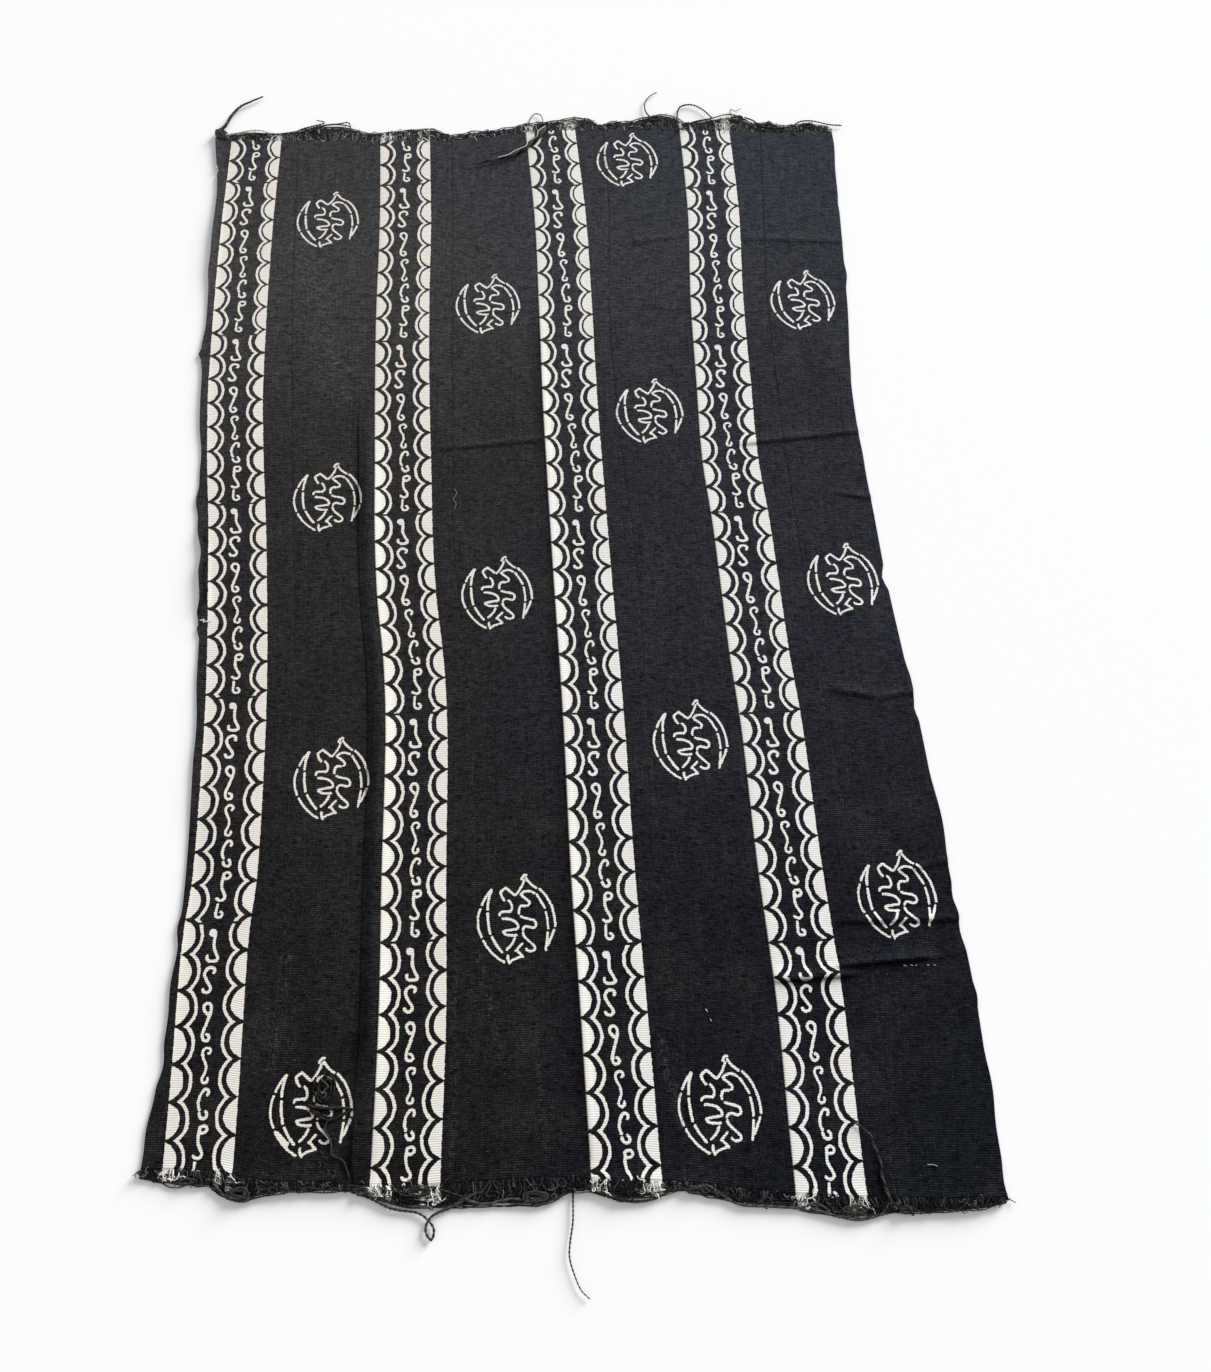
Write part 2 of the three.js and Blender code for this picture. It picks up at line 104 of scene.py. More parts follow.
def addFloor():
    reach = 12.0
    mesh = bpy.data.meshes.new("floor")
    corners = [(x * reach, y * reach, -0.0003) for x, y in ((-1, -1), (1, -1), (1, 1), (-1, 1))]
    mesh.from_pydata(corners, [], [(0, 1, 2, 3)])
    floor = addObject("floor", mesh)
    material = bpy.data.materials.new("paleFloor")
    material.use_nodes = True
    shader = material.node_tree.nodes["Principled BSDF"]
    shader.inputs["Base Color"].default_value = (0.93, 0.93, 0.93, 1)
    shader.inputs["Roughness"].default_value = 0.9
    shader.inputs["Specular IOR Level"].default_value = 0.1
    mesh.materials.append(material)


addCamera()
addLights()
addFloor()
bpy.context.scene.view_settings.view_transform = "Standard"
print("camera, lights and floor made")

# the cloth's plan and folds, in millimetres
planShift = (6.008, 11.771)  # from the plan's zero to the part's
lines = ["left", "s12", "s23", "s34", "s45", "s56", "s67", "s78", "right"]
# how far along the cloth, then the x of each of the nine lines
stationRows = [
    (840, -537, -398, -260, -138, -15, 117, 246, 385, 503),
    (640, -527, -394, -256, -137, -3, 119, 248, 372, 497),
    (460, -523, -389, -257, -136, 0, 111, 240, 362, 488),
    (300, -520, -381, -255, -136, 1, 113, 238, 361, 476),
    (170, -511, -374, -251, -135, 4, 119, 237, 363, 477),
    (60, -505, -367, -248, -134, 7, 127, 244, 366, 482),
    (-40, -493, -359, -242, -127, 10, 131, 248, 370, 486),
    (-150, -489, -355, -230, -115, 14, 133, 252, 374, 494),
    (-260, -484, -351, -225, -105, 17, 135, 259, 380, 503),
    (-450, -481, -344, -226, -103, 20, 142, 264, 391, 512),
    (-620, -488, -354, -225, -108, 26, 144, 272, 400, 522),
    (-780, -504, -365, -230, -115, 31, 145, 273, 395, 523),
    (-870, -511, -368, -233, -119, 34, 146, 274, 392, 525),
]
stations = [dict(zip(["y"] + lines, row)) for row in stationRows]
# x, then the y of the far end and of the near end
endRows = [
    (-540, 834, -787), (-490, 830, -789), (-430, 826, -792), (-395, 825, -799), (-345, 823, -808),
    (-285, 820, -811), (-250, 818, -816), (-195, 815, -819), (-150, 814, -820), (-110, 817, -819),
    (-20, 825, -818), (35, 826, -822), (90, 826, -825), (130, 826, -829), (215, 821, -840),
    (255, 818, -847), (300, 814, -852), (342, 812, -855), (395, 807, -858), (435, 804, -861),
    (475, 803, -862), (530, 804, -864),
]
ends = [dict(zip(["x", "far", "near"], row)) for row in endRows]
ridges = [
    {"line": "s23", "offset": -10, "far": 330, "near": -795, "height": 6.5,
     "left": 15, "right": 27, "fade": 190},
    {"line": "s45", "offset": 0, "far": 500, "near": -810, "height": 3.2,
     "left": 15, "right": 12, "fade": 120},
    {"line": "left", "offset": 0, "far": 92, "near": -78, "height": 4.5, "left": 4, "right": 17, "fade": 45},
]
# creases: from, to, height, width on the far side and on the near side, length over which each end fades
creases = [
    (128, 577, 262, 595, 1.4, 15, 9, 30),
    (322, 583, 515, 566, 1.6, 15, 9, 30),
    (-176, 203, 32, 216, 2.2, 14, 7, 40),
    (282, 192, 500, 208, 3, 16, 7, 40),
    (418, 104, 505, 86, 2.4, 11, 6, 30),
    (-76, -235, 4, -218, 1.1, 11, 8, 25),
    (372, -204, 462, -226, 3.2, 15, 7, 30),
    (444, -227, 530, -210, 3.2, 15, 7, 25),
    (436, -468, 535, -451, 2.4, 13, 7, 30),
    (346, -527, 545, -531, 3.4, 15, 7, 45),
    (258, -598, 392, -594, 5.5, 20, 6, 34),
    (338, -584, 490, -577, 6.5, 22, 6, 38),
]
# broad swells: middle, half size across and along, height
swells = [
    (-300, -580, 42, 150, 2.2),
    (-62, -640, 46, 120, 2.6),
    (205, -80, 46, 130, 2),
    (440, 340, 40, 95, 2.4),
    (438, -100, 48, 75, 2.6),
    (452, -395, 52, 60, 3),
    (470, -700, 44, 85, 2),
    (-450, -330, 30, 120, 1.6),
]
# small ins and outs of the two outer selvages: middle along the cloth, how far to the right, half its length
selvageBumps = {
    "left": [
        (725, 5, 120), (764, 4, 10), (552, -2, 40), (400, -4.5, 55), (391, -4, 6), (215, 2.3, 45),
        (130, -4, 30), (45, 5.5, 40), (-52, -4.5, 24), (-78, -4, 12), (-220, 2, 60), (-500, -3.5, 25),
        (-570, -3, 45), (-668, 4, 30), (-740, -2.2, 35),
    ],
    "right": [
        (770, 2.8, 60), (646, -1.3, 20), (500, 3, 30), (400, 1.2, 110), (320, 1, 30), (163, 1, 40),
        (-40, -5.5, 24), (-198, 2.3, 30), (-243, -3, 18), (-400, 4.5, 75), (-502, -2.8, 22),
        (-548, -3, 28), (-628, 2.3, 20), (-738, 3.2, 50), (-845, -2, 30),
    ],
}
cloth = {
    "thick": 1.6,
    "seamGap": 0.1,
    "length": 1.65,
    "width": 0.128,
    "cell": 5.2,
    "split": 4,
    "underStep": 2,
    "selvageDrop": 0.36,
    "sideLift": 3.1,
    "nearLift": 3.6,
    "sideCurl": 18,  # how far in from the left edge and the near end the cloth is lifted
    "nearCurl": 20,
    "moreLift": (350, 250),  # the left edge is lifted more from this y on, over this length
    "ripple": 0.22,
    "ridgeWave": (58, 0.15),
}


def throughTable(rows, at, key, where):
    table = sorted(rows, key=lambda row: row[at])
    place = np.array([row[at] for row in table], float)
    value = np.array([row[key] for row in table], float)
    slope = np.empty_like(value)
    slope[1:-1] = (value[2:] - value[:-2]) / (place[2:] - place[:-2])
    slope[0] = (value[1] - value[0]) / (place[1] - place[0])
    slope[-1] = (value[-1] - value[-2]) / (place[-1] - place[-2])
    where = np.asarray(where, float)
    i = np.clip(np.searchsorted(place, where) - 1, 0, len(place) - 2)
    span = place[i + 1] - place[i]
    t = (where - place[i]) / span
    h1 = t * t * (3 - 2 * t)
    h2 = t * (1 - t) * (1 - t) * span
    h3 = t * t * (t - 1) * span
    return value[i] * (1 - h1) + value[i + 1] * h1 + slope[i] * h2 + slope[i + 1] * h3


def lineX(name, y):
    return throughTable(stations, "y", name, y)


def endY(name, x):
    return throughTable(ends, "x", name, x)


def selvageShift(side, y):
    shift = np.zeros(np.shape(y))
    for middle, far, half in selvageBumps[side]:
        shift = shift + far * hump((np.asarray(y, float) - middle) / half)
    return shift


def hump(t, lowSlope=1, highSlope=1):
    part = np.minimum(1, np.abs(t) / np.where(t < 0, lowSlope, highSlope))
    return np.cos(part * np.pi / 2) ** 2


def smoothStep(t):
    c = np.clip(t, 0, 1)
    return c * c * (3 - 2 * c)


def besideLine(line, x, y):
    x0, y0, x1, y1 = line
    length = math.hypot(x1 - x0, y1 - y0)
    ux, uy = (x1 - x0) / length, (y1 - y0) / length
    along = (x - x0) * ux + (y - y0) * uy
    side = (y - y0) * ux - (x - x0) * uy
    return along, side, length


def fadedLine(line, fade, x, y):  # distance to the side, and a share that fades out at both ends
    along, side, length = besideLine(line, x, y)
    return side, smoothStep(along / fade) * smoothStep((length - along) / fade)


def rise(x, y):
    x = np.asarray(x, float)
    y = np.asarray(y, float)
    height = np.zeros(np.broadcast(x, y).shape)
    waveLength, waveShare = cloth["ridgeWave"]
    for ridge in ridges:
        fade = ridge["fade"]
        along = smoothStep((ridge["far"] - y) / fade) * smoothStep((y - ridge["near"]) / fade)
        side = x - lineX(ridge["line"], y) - ridge["offset"]
        uneven = 1 - waveShare * (1 - np.sin(y / waveLength + ridge["height"]))
        height = height + ridge["height"] * uneven * along * hump(side, ridge["left"], ridge["right"])
    for *line, top, far, near, fade in creases:
        side, share = fadedLine(line, fade, x, y)
        height = height + top * share * hump(side, near, far)
    for centreX, centreY, halfX, halfY, top in swells:
        away = np.hypot((x - centreX) / halfX, (y - centreY) / halfY)
        height = height + top * hump(away)
    return height


def ripple(x, y):  # slight unevenness of a cloth that has been folded away
    wave = np.sin(x / 17 + 1.7 * np.sin(y / 83)) * np.sin(y / 41 + 1.3 * np.sin(x / 57))
    wave = wave + 0.6 * np.sin(y / 9.5 + 2 * np.sin(x / 37)) * np.sin(x / 71 + y / 190) ** 2
    return cloth["ripple"] * (1.6 + wave)


def edgeLift(x, y):  # the free edges curl up a little
    fromLeft = np.maximum(x - lineX("left", y) - selvageShift("left", y), 0)
    fromNear = np.maximum(y - endY("near", x), 0)
    wave = 0.75 + 0.25 * np.sin(y / 47 + 1.2)
    moreFrom, moreOver = cloth["moreLift"]
    farMore = 1 + smoothStep((y - moreFrom) / moreOver)
    sideLift = cloth["sideLift"] * wave * farMore * np.clip(1 - fromLeft / cloth["sideCurl"], 0, 1) ** 2
    nearWave = 0.6 + 0.4 * np.sin(x / 61 + 0.5)
    nearLift = cloth["nearLift"] * nearWave * np.clip(1 - fromNear / cloth["nearCurl"], 0, 1) ** 2
    return np.maximum(sideLift, nearLift)


def toFrame(points):
    points = np.asarray(points, float)
    shift = np.array([planShift[0], planShift[1], 0])
    return (points + shift) / 1000


# what is printed on the strips
stencil = {
    "bandWidth": 84,
    "repeat": 311,
    "perRepeat": 7,
    "discRadius": 21.6,
    "discCentre": -6.2,
    "outlineRadius": 28.4,
    "outlineHalf": 2.05,
    "jointLead": 0.02,
}
# band number: line or stations of its left edge, starts of the repeats (scroll tops), offsets of both rows in
# millimetres, lean of the scroll column at the start and at the end of a repeat
bandOneRows = [
    (830, -510), (610, -514), (340, -511), (210, -503), (90, -492), (-20, -484), (-130, -477), (-240, -473),
    (-430, -472), (-520, -478), (-690, -478), (-790, -479),
]
bandOneEdge = [{"y": y, "edge": edge} for y, edge in bandOneRows]
bands = {
    0: {"edge": None, "starts": [728, 421, 117, -190, -501], "left": 12, "right": 15, "lean": (-3, 0)},
    2: {"edge": "s23", "starts": [713, 398, 88, -225, -536], "left": 6, "right": 13, "lean": (-3, 3)},
    4: {"edge": "s45", "starts": [698, 388, 75, -235, -551], "left": 6, "right": 9, "lean": (-3, 3)},
    6: {"edge": "s67", "starts": [684, 375, 71, -245, -557], "left": 6, "right": 9, "lean": (-3, 3)},
}
# a stroke: where the pen starts (x, y), its heading, its width, then moves of a length and the turn made
# along it; 0 in place of a move lifts the pen for a bridge of the stencil
scrolls = [
    (0, [
        (-1.5, -6, 0, 10.6, [(0.3, 0)]),
        (2.2, -9, -95, 4.2, [(10, 0), (10, 30), (10, 0), (5, -105), (7, -14), (6, -70), (3, -40)]),
    ]),
    (-48.5, [
        (3.9, -8, 40, 4.3, [(5, 90), (6, 60), (8, 60), (8, 50), (13, 2), (7, -90), (6, -60), (4, -60)]),
    ]),
    (-94.5, [
        (-0.8, -13, 140, 4.0, [
            (7, -20), (7, -70), (6, -80), (6, -60), (10, -20), (20, 0), (8, 30), (7, 90), (6, 90), (5, 70),
        ]),
    ]),
    (-145, [
        (3.4, -10, 20, 3.5, [
            (4, 70), (5, 80), (5, 50), (6, 60), (10, 20), (9, -35), (7, -25), (6, 20), (5, 80), (5, 80),
            (4, 60),
        ]),
    ]),
    (-194, [
        (5.6, -9.5, 50, 3.8, [(4, 50), (5, 80), (3, 50), (8, 20), (9, 22), (7, 30)]),
        (-3, -31, -85, 4.1, [(5, 40), (5, 60), (5, 80), (5, 40)]),
    ]),
    (-238, [
        (-1, -3, -98, 4.0, [(13, 6), (8, 30), (8, 0), (5, -60), (5, -60), (6, -50)]),
        (-0.5, -2.5, 30, 3.8, [(5, -30), (5, -80), (5, -70), (5, -40), (3, -90)]),
    ]),
    (-279.5, [
        (-3.6, -1, -96, 3.7, [(12, 0), (5, 60), (5, 60), (5, 80), (4, 70)]),
    ]),
]
symbolStrokes = [
    (-33, 38, -132, 3.4, [(22, 20), 0, (37, 48), 0, (39, 34)]),
    (-32, 38, -114, 3.8, [(25, 24), 0, (26, 12), (0, 14), 0, (23, 14)]),
    (7, 51, 62, 3.6, [(5, -10), (4, -80)]),
    (13, 52, -60, 3.4, [(19, 28)]),
    (30, 37, -42, 3.6, [(26, -28), (28, -20), (0, -20), 0, (20, -8)]),
    (26, 30, -56, 3.4, [(21, -8), (0, -14), 0, (21, -12), (0, -6), 0, (22, -4)]),
    (10, 49, -106, 3.4, [(22, -30)]),
    (-3, 31, 138, 3.7, [(14, 0), (0, 70), (9, 20), (0, 50), (12, 34)]),
    (-10, 23.5, -42, 3.5, [(9, -40), (8, -60)]),
    (-8, 9.4, 180, 3.7, [(10, 0), (6, 90)]),
    (-18, 0.6, -2, 3.7, [
        (11, -16), (12, -46), (6, -110), (10, 0), (7, 14), (0, 95), (8, 55), (11, 14),
    ]),
    (-3, -25.5, -110, 3.7, [(17, -34)]),
    (23, 32, 140, 3.6, [(9, 40), (10, 50)]),
    (7, 29, -36, 3.5, [(11, -6), (7, -110)]),
    (11.6, 15.7, 165, 3.7, [(6, 30), (0, 30), (10, 60)]),
    (6, 2.2, -30, 3.6, [(7, 18), (8, -6), (9, -80), (7, -100), (6, 0), (8, 100)]),
    (7.5, -18.3, -84, 3.5, [(8, 40), (15, 0), (6, -100), (6, -50), (5, -40)]),
    (-12, -47, -100, 3.6, [(4, 20), (6, 20)]),
    (-9, -54.5, 38, 3.4, [(8, -22), (9, 0)]),
    (7, -49, 128, 3.4, [(11, 8)]),
    (-1.7, -41, 48, 3.4, [(12, -4)]),
]
symbolPlaces = [
    (-340, 652), (-319, 129), (-296, -306), (-304, -724), (-80, 470), (-71, -39), (-51, -506), (155, 756),
    (164, 258), (189, -273), (192, -743), (418, 454), (424, -40), (441, -496),
]
blots = {1: [(-344, -753, -52, 5.6, [(17, 10)])]}  # paint that ran under the stencil, on the strip's plan
penBridge = 5.6  # the open bridge and half the pen on each side
symbolPen = 0.88
scrollPen = 0.92
noInk = -4.0
countFrom = 40  # keeps the count of discs above 0
symbolReach = (64, 68)  # half a symbol and its surroundings


def penStroke(x, y, heading, width, moves):
    pieces = []
    points = [(x, y)]
    angle = math.radians(heading)
    for move in moves:
        if move == 0:
            pieces.append(points)
            x, y = x + penBridge * math.cos(angle), y + penBridge * math.sin(angle)
            points = [(x, y)]
            continue
        length, turn = move
        count = max(1, math.ceil(length / 1.5))
        for _ in range(count):
            angle += math.radians(turn) / count / 2
            x, y = x + math.cos(angle) * length / count, y + math.sin(angle) * length / count
            angle += math.radians(turn) / count / 2
            points.append((x, y))
    pieces.append(points)
    return [(np.array(part), width) for part in pieces if len(part) > 1]


def inkAt(px, py, strokes):  # how far inside the nearest stroke, in millimetres
    best = np.full(px.shape, noInk)
    for points, width in strokes:
        low = points.min(0) - width / 2 + noInk
        high = points.max(0) + width / 2 - noInk
        near = (px > low[0]) & (px < high[0]) & (py > low[1]) & (py < high[1])
        if not near.any():
            continue
        x = px[near][:, None]
        y = py[near][:, None]
        a = points[:-1]
        d = points[1:] - a
        t = ((x - a[:, 0]) * d[:, 0] + (y - a[:, 1]) * d[:, 1]) / np.maximum((d ** 2).sum(1), 1e-9)
        t = np.clip(t, 0, 1)
        away = np.hypot(x - a[:, 0] - t * d[:, 0], y - a[:, 1] - t * d[:, 1]).min(1)
        best[near] = np.maximum(best[near], width / 2 - away)
    return best


scrollStrokes = [
    (points + np.array([0, top]), width * scrollPen)
    for top, strokes in scrolls
    for stroke in strokes
    for points, width in penStroke(*stroke)
]
symbolLines = [
    (points, width * symbolPen)
    for stroke in symbolStrokes
    for points, width in penStroke(*stroke)
]


def bandEdge(index, y):
    own = bands[index]
    if own["edge"] is None:
        return throughTable(bandOneEdge, "y", "edge", y)
    return lineX(own["edge"], y)


def repeatCount(index, y):  # 0 at the first scroll's top, 1 more at each repeat down the cloth
    starts = np.array(bands[index]["starts"], float)
    places = np.concatenate([[starts[0] + stencil["repeat"]], starts, [starts[-1] - stencil["repeat"]]])
    counts = np.arange(-1, len(starts) + 1, dtype=float)
    return np.interp(-np.asarray(y, float), -places, counts)


def scrollInk(index, x, y):
    own = bands[index]
    count = repeatCount(index, y)
    whole = np.floor(count)
    part = count - whole
    lean = own["lean"][0] + (own["lean"][1] - own["lean"][0]) * part
    u = x - bandEdge(index, y) - stencil["bandWidth"] / 2 - lean
    return inkAt(u, -part * stencil["repeat"], scrollStrokes)


def printCount(index, y, side):  # half discs counted down the band, whole numbers between two discs
    shift = bands[index][side] / stencil["repeat"]
    return (repeatCount(index, y) + shift) * stencil["perRepeat"]


def isWhite(index, x, y):  # is the cloth printed white here, for the yarn ends
    if index not in bands:
        return np.zeros(np.shape(x), bool)
    u = x - bandEdge(index, y)
    pitch = stencil["repeat"] / stencil["perRepeat"]
    white = np.zeros(np.shape(x), bool)
    for side, inward in (("left", u), ("right", stencil["bandWidth"] - u)):
        step = (np.mod(printCount(index, y, side), 1) - 0.5) * pitch
        away = np.hypot(inward - stencil["discCentre"], step)
        ring = np.abs(away - stencil["outlineRadius"]) < stencil["outlineHalf"]
        white |= (inward > 0) & ((away < stencil["discRadius"]) | ring)
    return white


print("print laid out,", len(scrollStrokes), "scroll strokes,", len(symbolLines), "symbol strokes")


# shader nodes
class Nodes:  # short way to write a node tree
    def __init__(self, tree):
        self.tree = tree

    def new(self, kind, inputs=None, **settings):
        node = self.tree.nodes.new(kind)
        for key, value in settings.items():
            setattr(node, key, value)
        for key, value in (inputs or {}).items():
            self.put(node.inputs[key], value)
        return node

    def put(self, socket, value):
        if isinstance(value, bpy.types.NodeSocket):
            self.tree.links.new(value, socket)
        else:
            socket.default_value = value

    def math(self, operation, a, b=0.0, c=0.0):
        node = self.new("ShaderNodeMath", operation=operation)
        for socket, value in zip(node.inputs, (a, b, c)):
            self.put(socket, value)
        return node.outputs[0]

    def times(self, a, b):
        return self.math("MULTIPLY", a, b)

    def timesPlus(self, a, b, c):
        return self.math("MULTIPLY_ADD", a, b, c)

    def plus(self, a, b):
        return self.math("ADD", a, b)

    def minus(self, a, b):
        return self.math("SUBTRACT", a, b)

    def larger(self, a, b):
        return self.math("MAXIMUM", a, b)

    def smaller(self, a, b):
        return self.math("MINIMUM", a, b)

    def perPoint(self, name):  # a value kept at each point of the mesh
        return self.new("ShaderNodeAttribute", attribute_name=name).outputs["Fac"]

    def flat(self, name):  # a UV map of the piece
        return self.new("ShaderNodeUVMap", uv_map=name).outputs[0]

    def objectPlace(self):
        return self.new("ShaderNodeTexCoord").outputs["Object"]

    def smooth(self, value, low, high, toLow=0.0, toHigh=1.0):
        limits = {"Value": value, "From Min": low, "From Max": high, "To Min": toLow, "To Max": toHigh}
        return self.new("ShaderNodeMapRange", limits, interpolation_type="SMOOTHSTEP").outputs["Result"]

    def mix(self, share, a, b):
        return self.new("ShaderNodeMix", {0: share, 6: a, 7: b}, data_type="RGBA").outputs[2]

    def ramp(self, value, stops):
        node = self.new("ShaderNodeValToRGB")
        band = node.color_ramp
        while len(band.elements) < len(stops):
            band.elements.new(0.5)
        for element, (place, colour) in zip(band.elements, stops):
            element.position = place
            element.color = (*colour, 1.0)
        self.put(node.inputs[0], value)
        return node.outputs[0]

    def chance(self, vector):
        return self.new("ShaderNodeTexWhiteNoise", {"Vector": vector}, noise_dimensions="2D").outputs["Value"]

    def join(self, x, y, z=0.0):
        return self.new("ShaderNodeCombineXYZ", {0: x, 1: y, 2: z}).outputs[0]

    def parts(self, vector):
        return self.new("ShaderNodeSeparateXYZ", {0: vector}).outputs

    def noise(self, vector, scale, detail=2.0, roughness=0.5, dimensions="3D"):
        given = {"Vector": vector, "Scale": scale, "Detail": detail, "Roughness": roughness}
        return self.new("ShaderNodeTexNoise", given, noise_dimensions=dimensions).outputs["Fac"]


def newTree(name, family, inputs, outputs):  # sockets by name; a socket without a kind is a number
    tree = bpy.data.node_groups.new(name, family + "NodeTree")
    for side, sockets in (("INPUT", inputs), ("OUTPUT", outputs)):
        for label, kind in sockets.items():
            value = kind if isinstance(kind, float) else None
            kind = "Float" if kind is None or value is not None else kind
            socket = tree.interface.new_socket(label, in_out=side, socket_type="NodeSocket" + kind)
            if value is not None:
                socket.default_value = value
    start = tree.nodes.new("NodeGroupInput")
    finish = tree.nodes.new("NodeGroupOutput")
    return tree, Nodes(tree), start.outputs, finish.inputs


def newMaterial(name):
    material = bpy.data.materials.new(name)
    material.use_nodes = True
    return material, Nodes(material.node_tree), material.node_tree.nodes["Principled BSDF"].inputs


def weaveGroup():  # ribs of thick weft across the strip, over fine warp
    inputs = {"Place": "Vector", "Rib pitch mm": 2.75, "Warp pitch mm": 1.2}
    outputs = dict.fromkeys(["Height", "Tone", "Groove", "Rib", "Streak"])
    tree, n, given, out = newTree("ribWeave", "Shader", inputs, outputs)
    x, y, _ = n.parts(given["Place"])
    across = n.times(x, 1000)
    wander = n.noise(given["Place"], 24.0, 2.0)
    along = n.timesPlus(y, 1000, n.times(wander, 5.0))
    ribs = n.math("DIVIDE", along, given["Rib pitch mm"])
    rib = n.math("FLOOR", ribs)
    arch = n.math("SINE", n.times(n.math("FRACT", ribs), math.pi))
    odd = n.times(n.math("FLOORED_MODULO", rib, 2.0), 0.5)
    warps = n.plus(n.math("DIVIDE", across, given["Warp pitch mm"]), odd)
    grain = n.math("SINE", n.times(n.math("FRACT", warps), math.pi))
    height = n.times(arch, n.timesPlus(grain, 0.45, 0.55))
    thread = n.chance(n.join(n.math("FLOOR", warps), rib))
    alongRib = n.join(n.times(across, 0.075), n.times(rib, 3.71))
    patch = n.noise(alongRib, 1.0, 3.0, 0.6, "2D")
    streakPlace = n.join(n.times(across, 0.42), n.times(along, 0.011))
    n.put(out["Height"], height)
    n.put(out["Tone"], n.timesPlus(thread, 0.3, n.times(patch, 0.7)))
    n.put(out["Groove"], n.minus(1.0, arch))
    n.put(out["Rib"], rib)
    n.put(out["Streak"], n.noise(streakPlace, 1.0, 3.0, 0.65, "2D"))
    return tree


# charcoal from the near end to the far end, at the left and at the right of the cloth; lighter towards the
# far end, partly faded dye and partly painted sheen and light falloff
charcoalAndSheenLeft = [
    (0.03, (0.0082, 0.0082, 0.0094)),
    (0.35, (0.0155, 0.0155, 0.0168)),
    (0.61, (0.0235, 0.0234, 0.0246)),
    (0.83, (0.0440, 0.0435, 0.0462)),
    (0.97, (0.0395, 0.0392, 0.0434)),
]
charcoalAndSheenRight = [
    (0.03, (0.0068, 0.0080, 0.0116)),
    (0.21, (0.0085, 0.0093, 0.0128)),
    (0.44, (0.0188, 0.0200, 0.0268)),
    (0.70, (0.0248, 0.0262, 0.0325)),
    (0.94, (0.0300, 0.0345, 0.0450)),
]


# what lies over the charcoal: worn clouds, pale dust, the brown rim of the print
overCharcoal = {
    "cloud": (0.052, 0.049, 0.047, 1),
    "dust": (0.13, 0.12, 0.11, 1),
    "rim": (0.050, 0.030, 0.022, 1),
}
# the printed white at the left and at the right, in the grooves, on some threads, and under the painted shade
# in the feet of folds
whites = {
    "left": (0.81, 0.775, 0.71, 1),
    "right": (0.86, 0.86, 0.845, 1),
    "groove": (0.45, 0.42, 0.38, 1),
    "thread": (0.70, 0.66, 0.60, 1),
    "foot": (0.06, 0.055, 0.05, 1),
}


def fadeAndPaintedLightGroup():  # where the charcoal has faded, with painted sheen and light falloff towards the far end, dust in streaks along the strip, and painted shade and highlights of folds and ribs
    inputs = {
        "Object place": "Vector", "Place": "Vector", "Tone": 0.5, "Groove": 0.0, "Streak": 0.5, "Dusty": 0.0,
        "Fold shading": 0.0,
    }
    tree, n, given, out = newTree("fadedCharcoalAndPaintedLight", "Shader", inputs, {"Color": "Color"})
    x, y, _ = n.parts(given["Object place"])
    # lighter towards the far end: partly faded dye, partly painted sheen and light falloff
    down = n.timesPlus(y, 1 / 1.7, 0.5)
    ground = n.mix(n.smooth(x, -0.32, 0.5), n.ramp(down, charcoalAndSheenLeft), n.ramp(down, charcoalAndSheenRight))
    cloud = n.noise(given["Object place"], 9.0, 4.0, 0.6)
    ground = n.mix(n.smooth(cloud, 0.42, 0.78, 0.0, 0.22), ground, overCharcoal["cloud"])
    x2, y2, _ = n.parts(given["Place"])
    stretched = n.join(n.times(x2, 300.0), n.times(y2, 9.0))
    longStreaks = n.noise(stretched, 1.0, 3.0, 0.6, "2D")
    dust = n.smooth(longStreaks, 0.60, 0.85, 0.0, 0.10)
    speckled = n.times(n.smooth(given["Tone"], 0.35, 0.85), given["Dusty"])
    dust = n.plus(dust, n.times(speckled, 0.55))
    lint = n.smooth(n.noise(given["Object place"], 450.0, 1.0), 0.72, 0.78, 0.0, 0.45)
    dust = n.larger(dust, lint)
    ground = n.mix(dust, ground, overCharcoal["dust"])
    crisp = n.smooth(y, -0.55, 0.5, 1.25, 0.7)  # the painted rib highlights and groove shade show less towards the far end, where the cloth is dusty and faded
    blotch = n.noise(given["Object place"], 70.0, 3.0, 0.6)
    mottling = n.smooth(y, -0.5, 0.6, 3.1, 2.5)
    threads = n.timesPlus(n.minus(given["Tone"], 0.5), mottling, 1.0)
    # painted highlight on the rib crests and painted shade in the rib grooves
    ribs = n.timesPlus(n.minus(0.36, given["Groove"]), crisp, 1.0)
    warps = n.timesPlus(n.minus(given["Streak"], 0.5), 0.8, 1.0)
    warps = n.times(warps, n.timesPlus(n.minus(blotch, 0.5), 0.6, 1.0))
    # painted highlight on the crests of folds, painted shade at their feet, along seams and in hollows
    paintedCrestLight = n.timesPlus(n.larger(given["Fold shading"], 0.0), 1.1, 1.0)
    foot = n.timesPlus(n.smaller(given["Fold shading"], 0.0), 0.85, 1.0)
    shade = n.times(n.times(threads, warps), n.times(paintedCrestLight, foot))
    shade = n.larger(0.06, n.times(ribs, shade))
    grey = n.new("ShaderNodeCombineColor", {0: shade, 1: shade, 2: shade}).outputs[0]
    shaded = n.new("ShaderNodeMix", {0: 1.0, 6: ground, 7: grey}, data_type="RGBA", blend_type="MULTIPLY")
    n.put(out["Color"], shaded.outputs[2])
    return tree


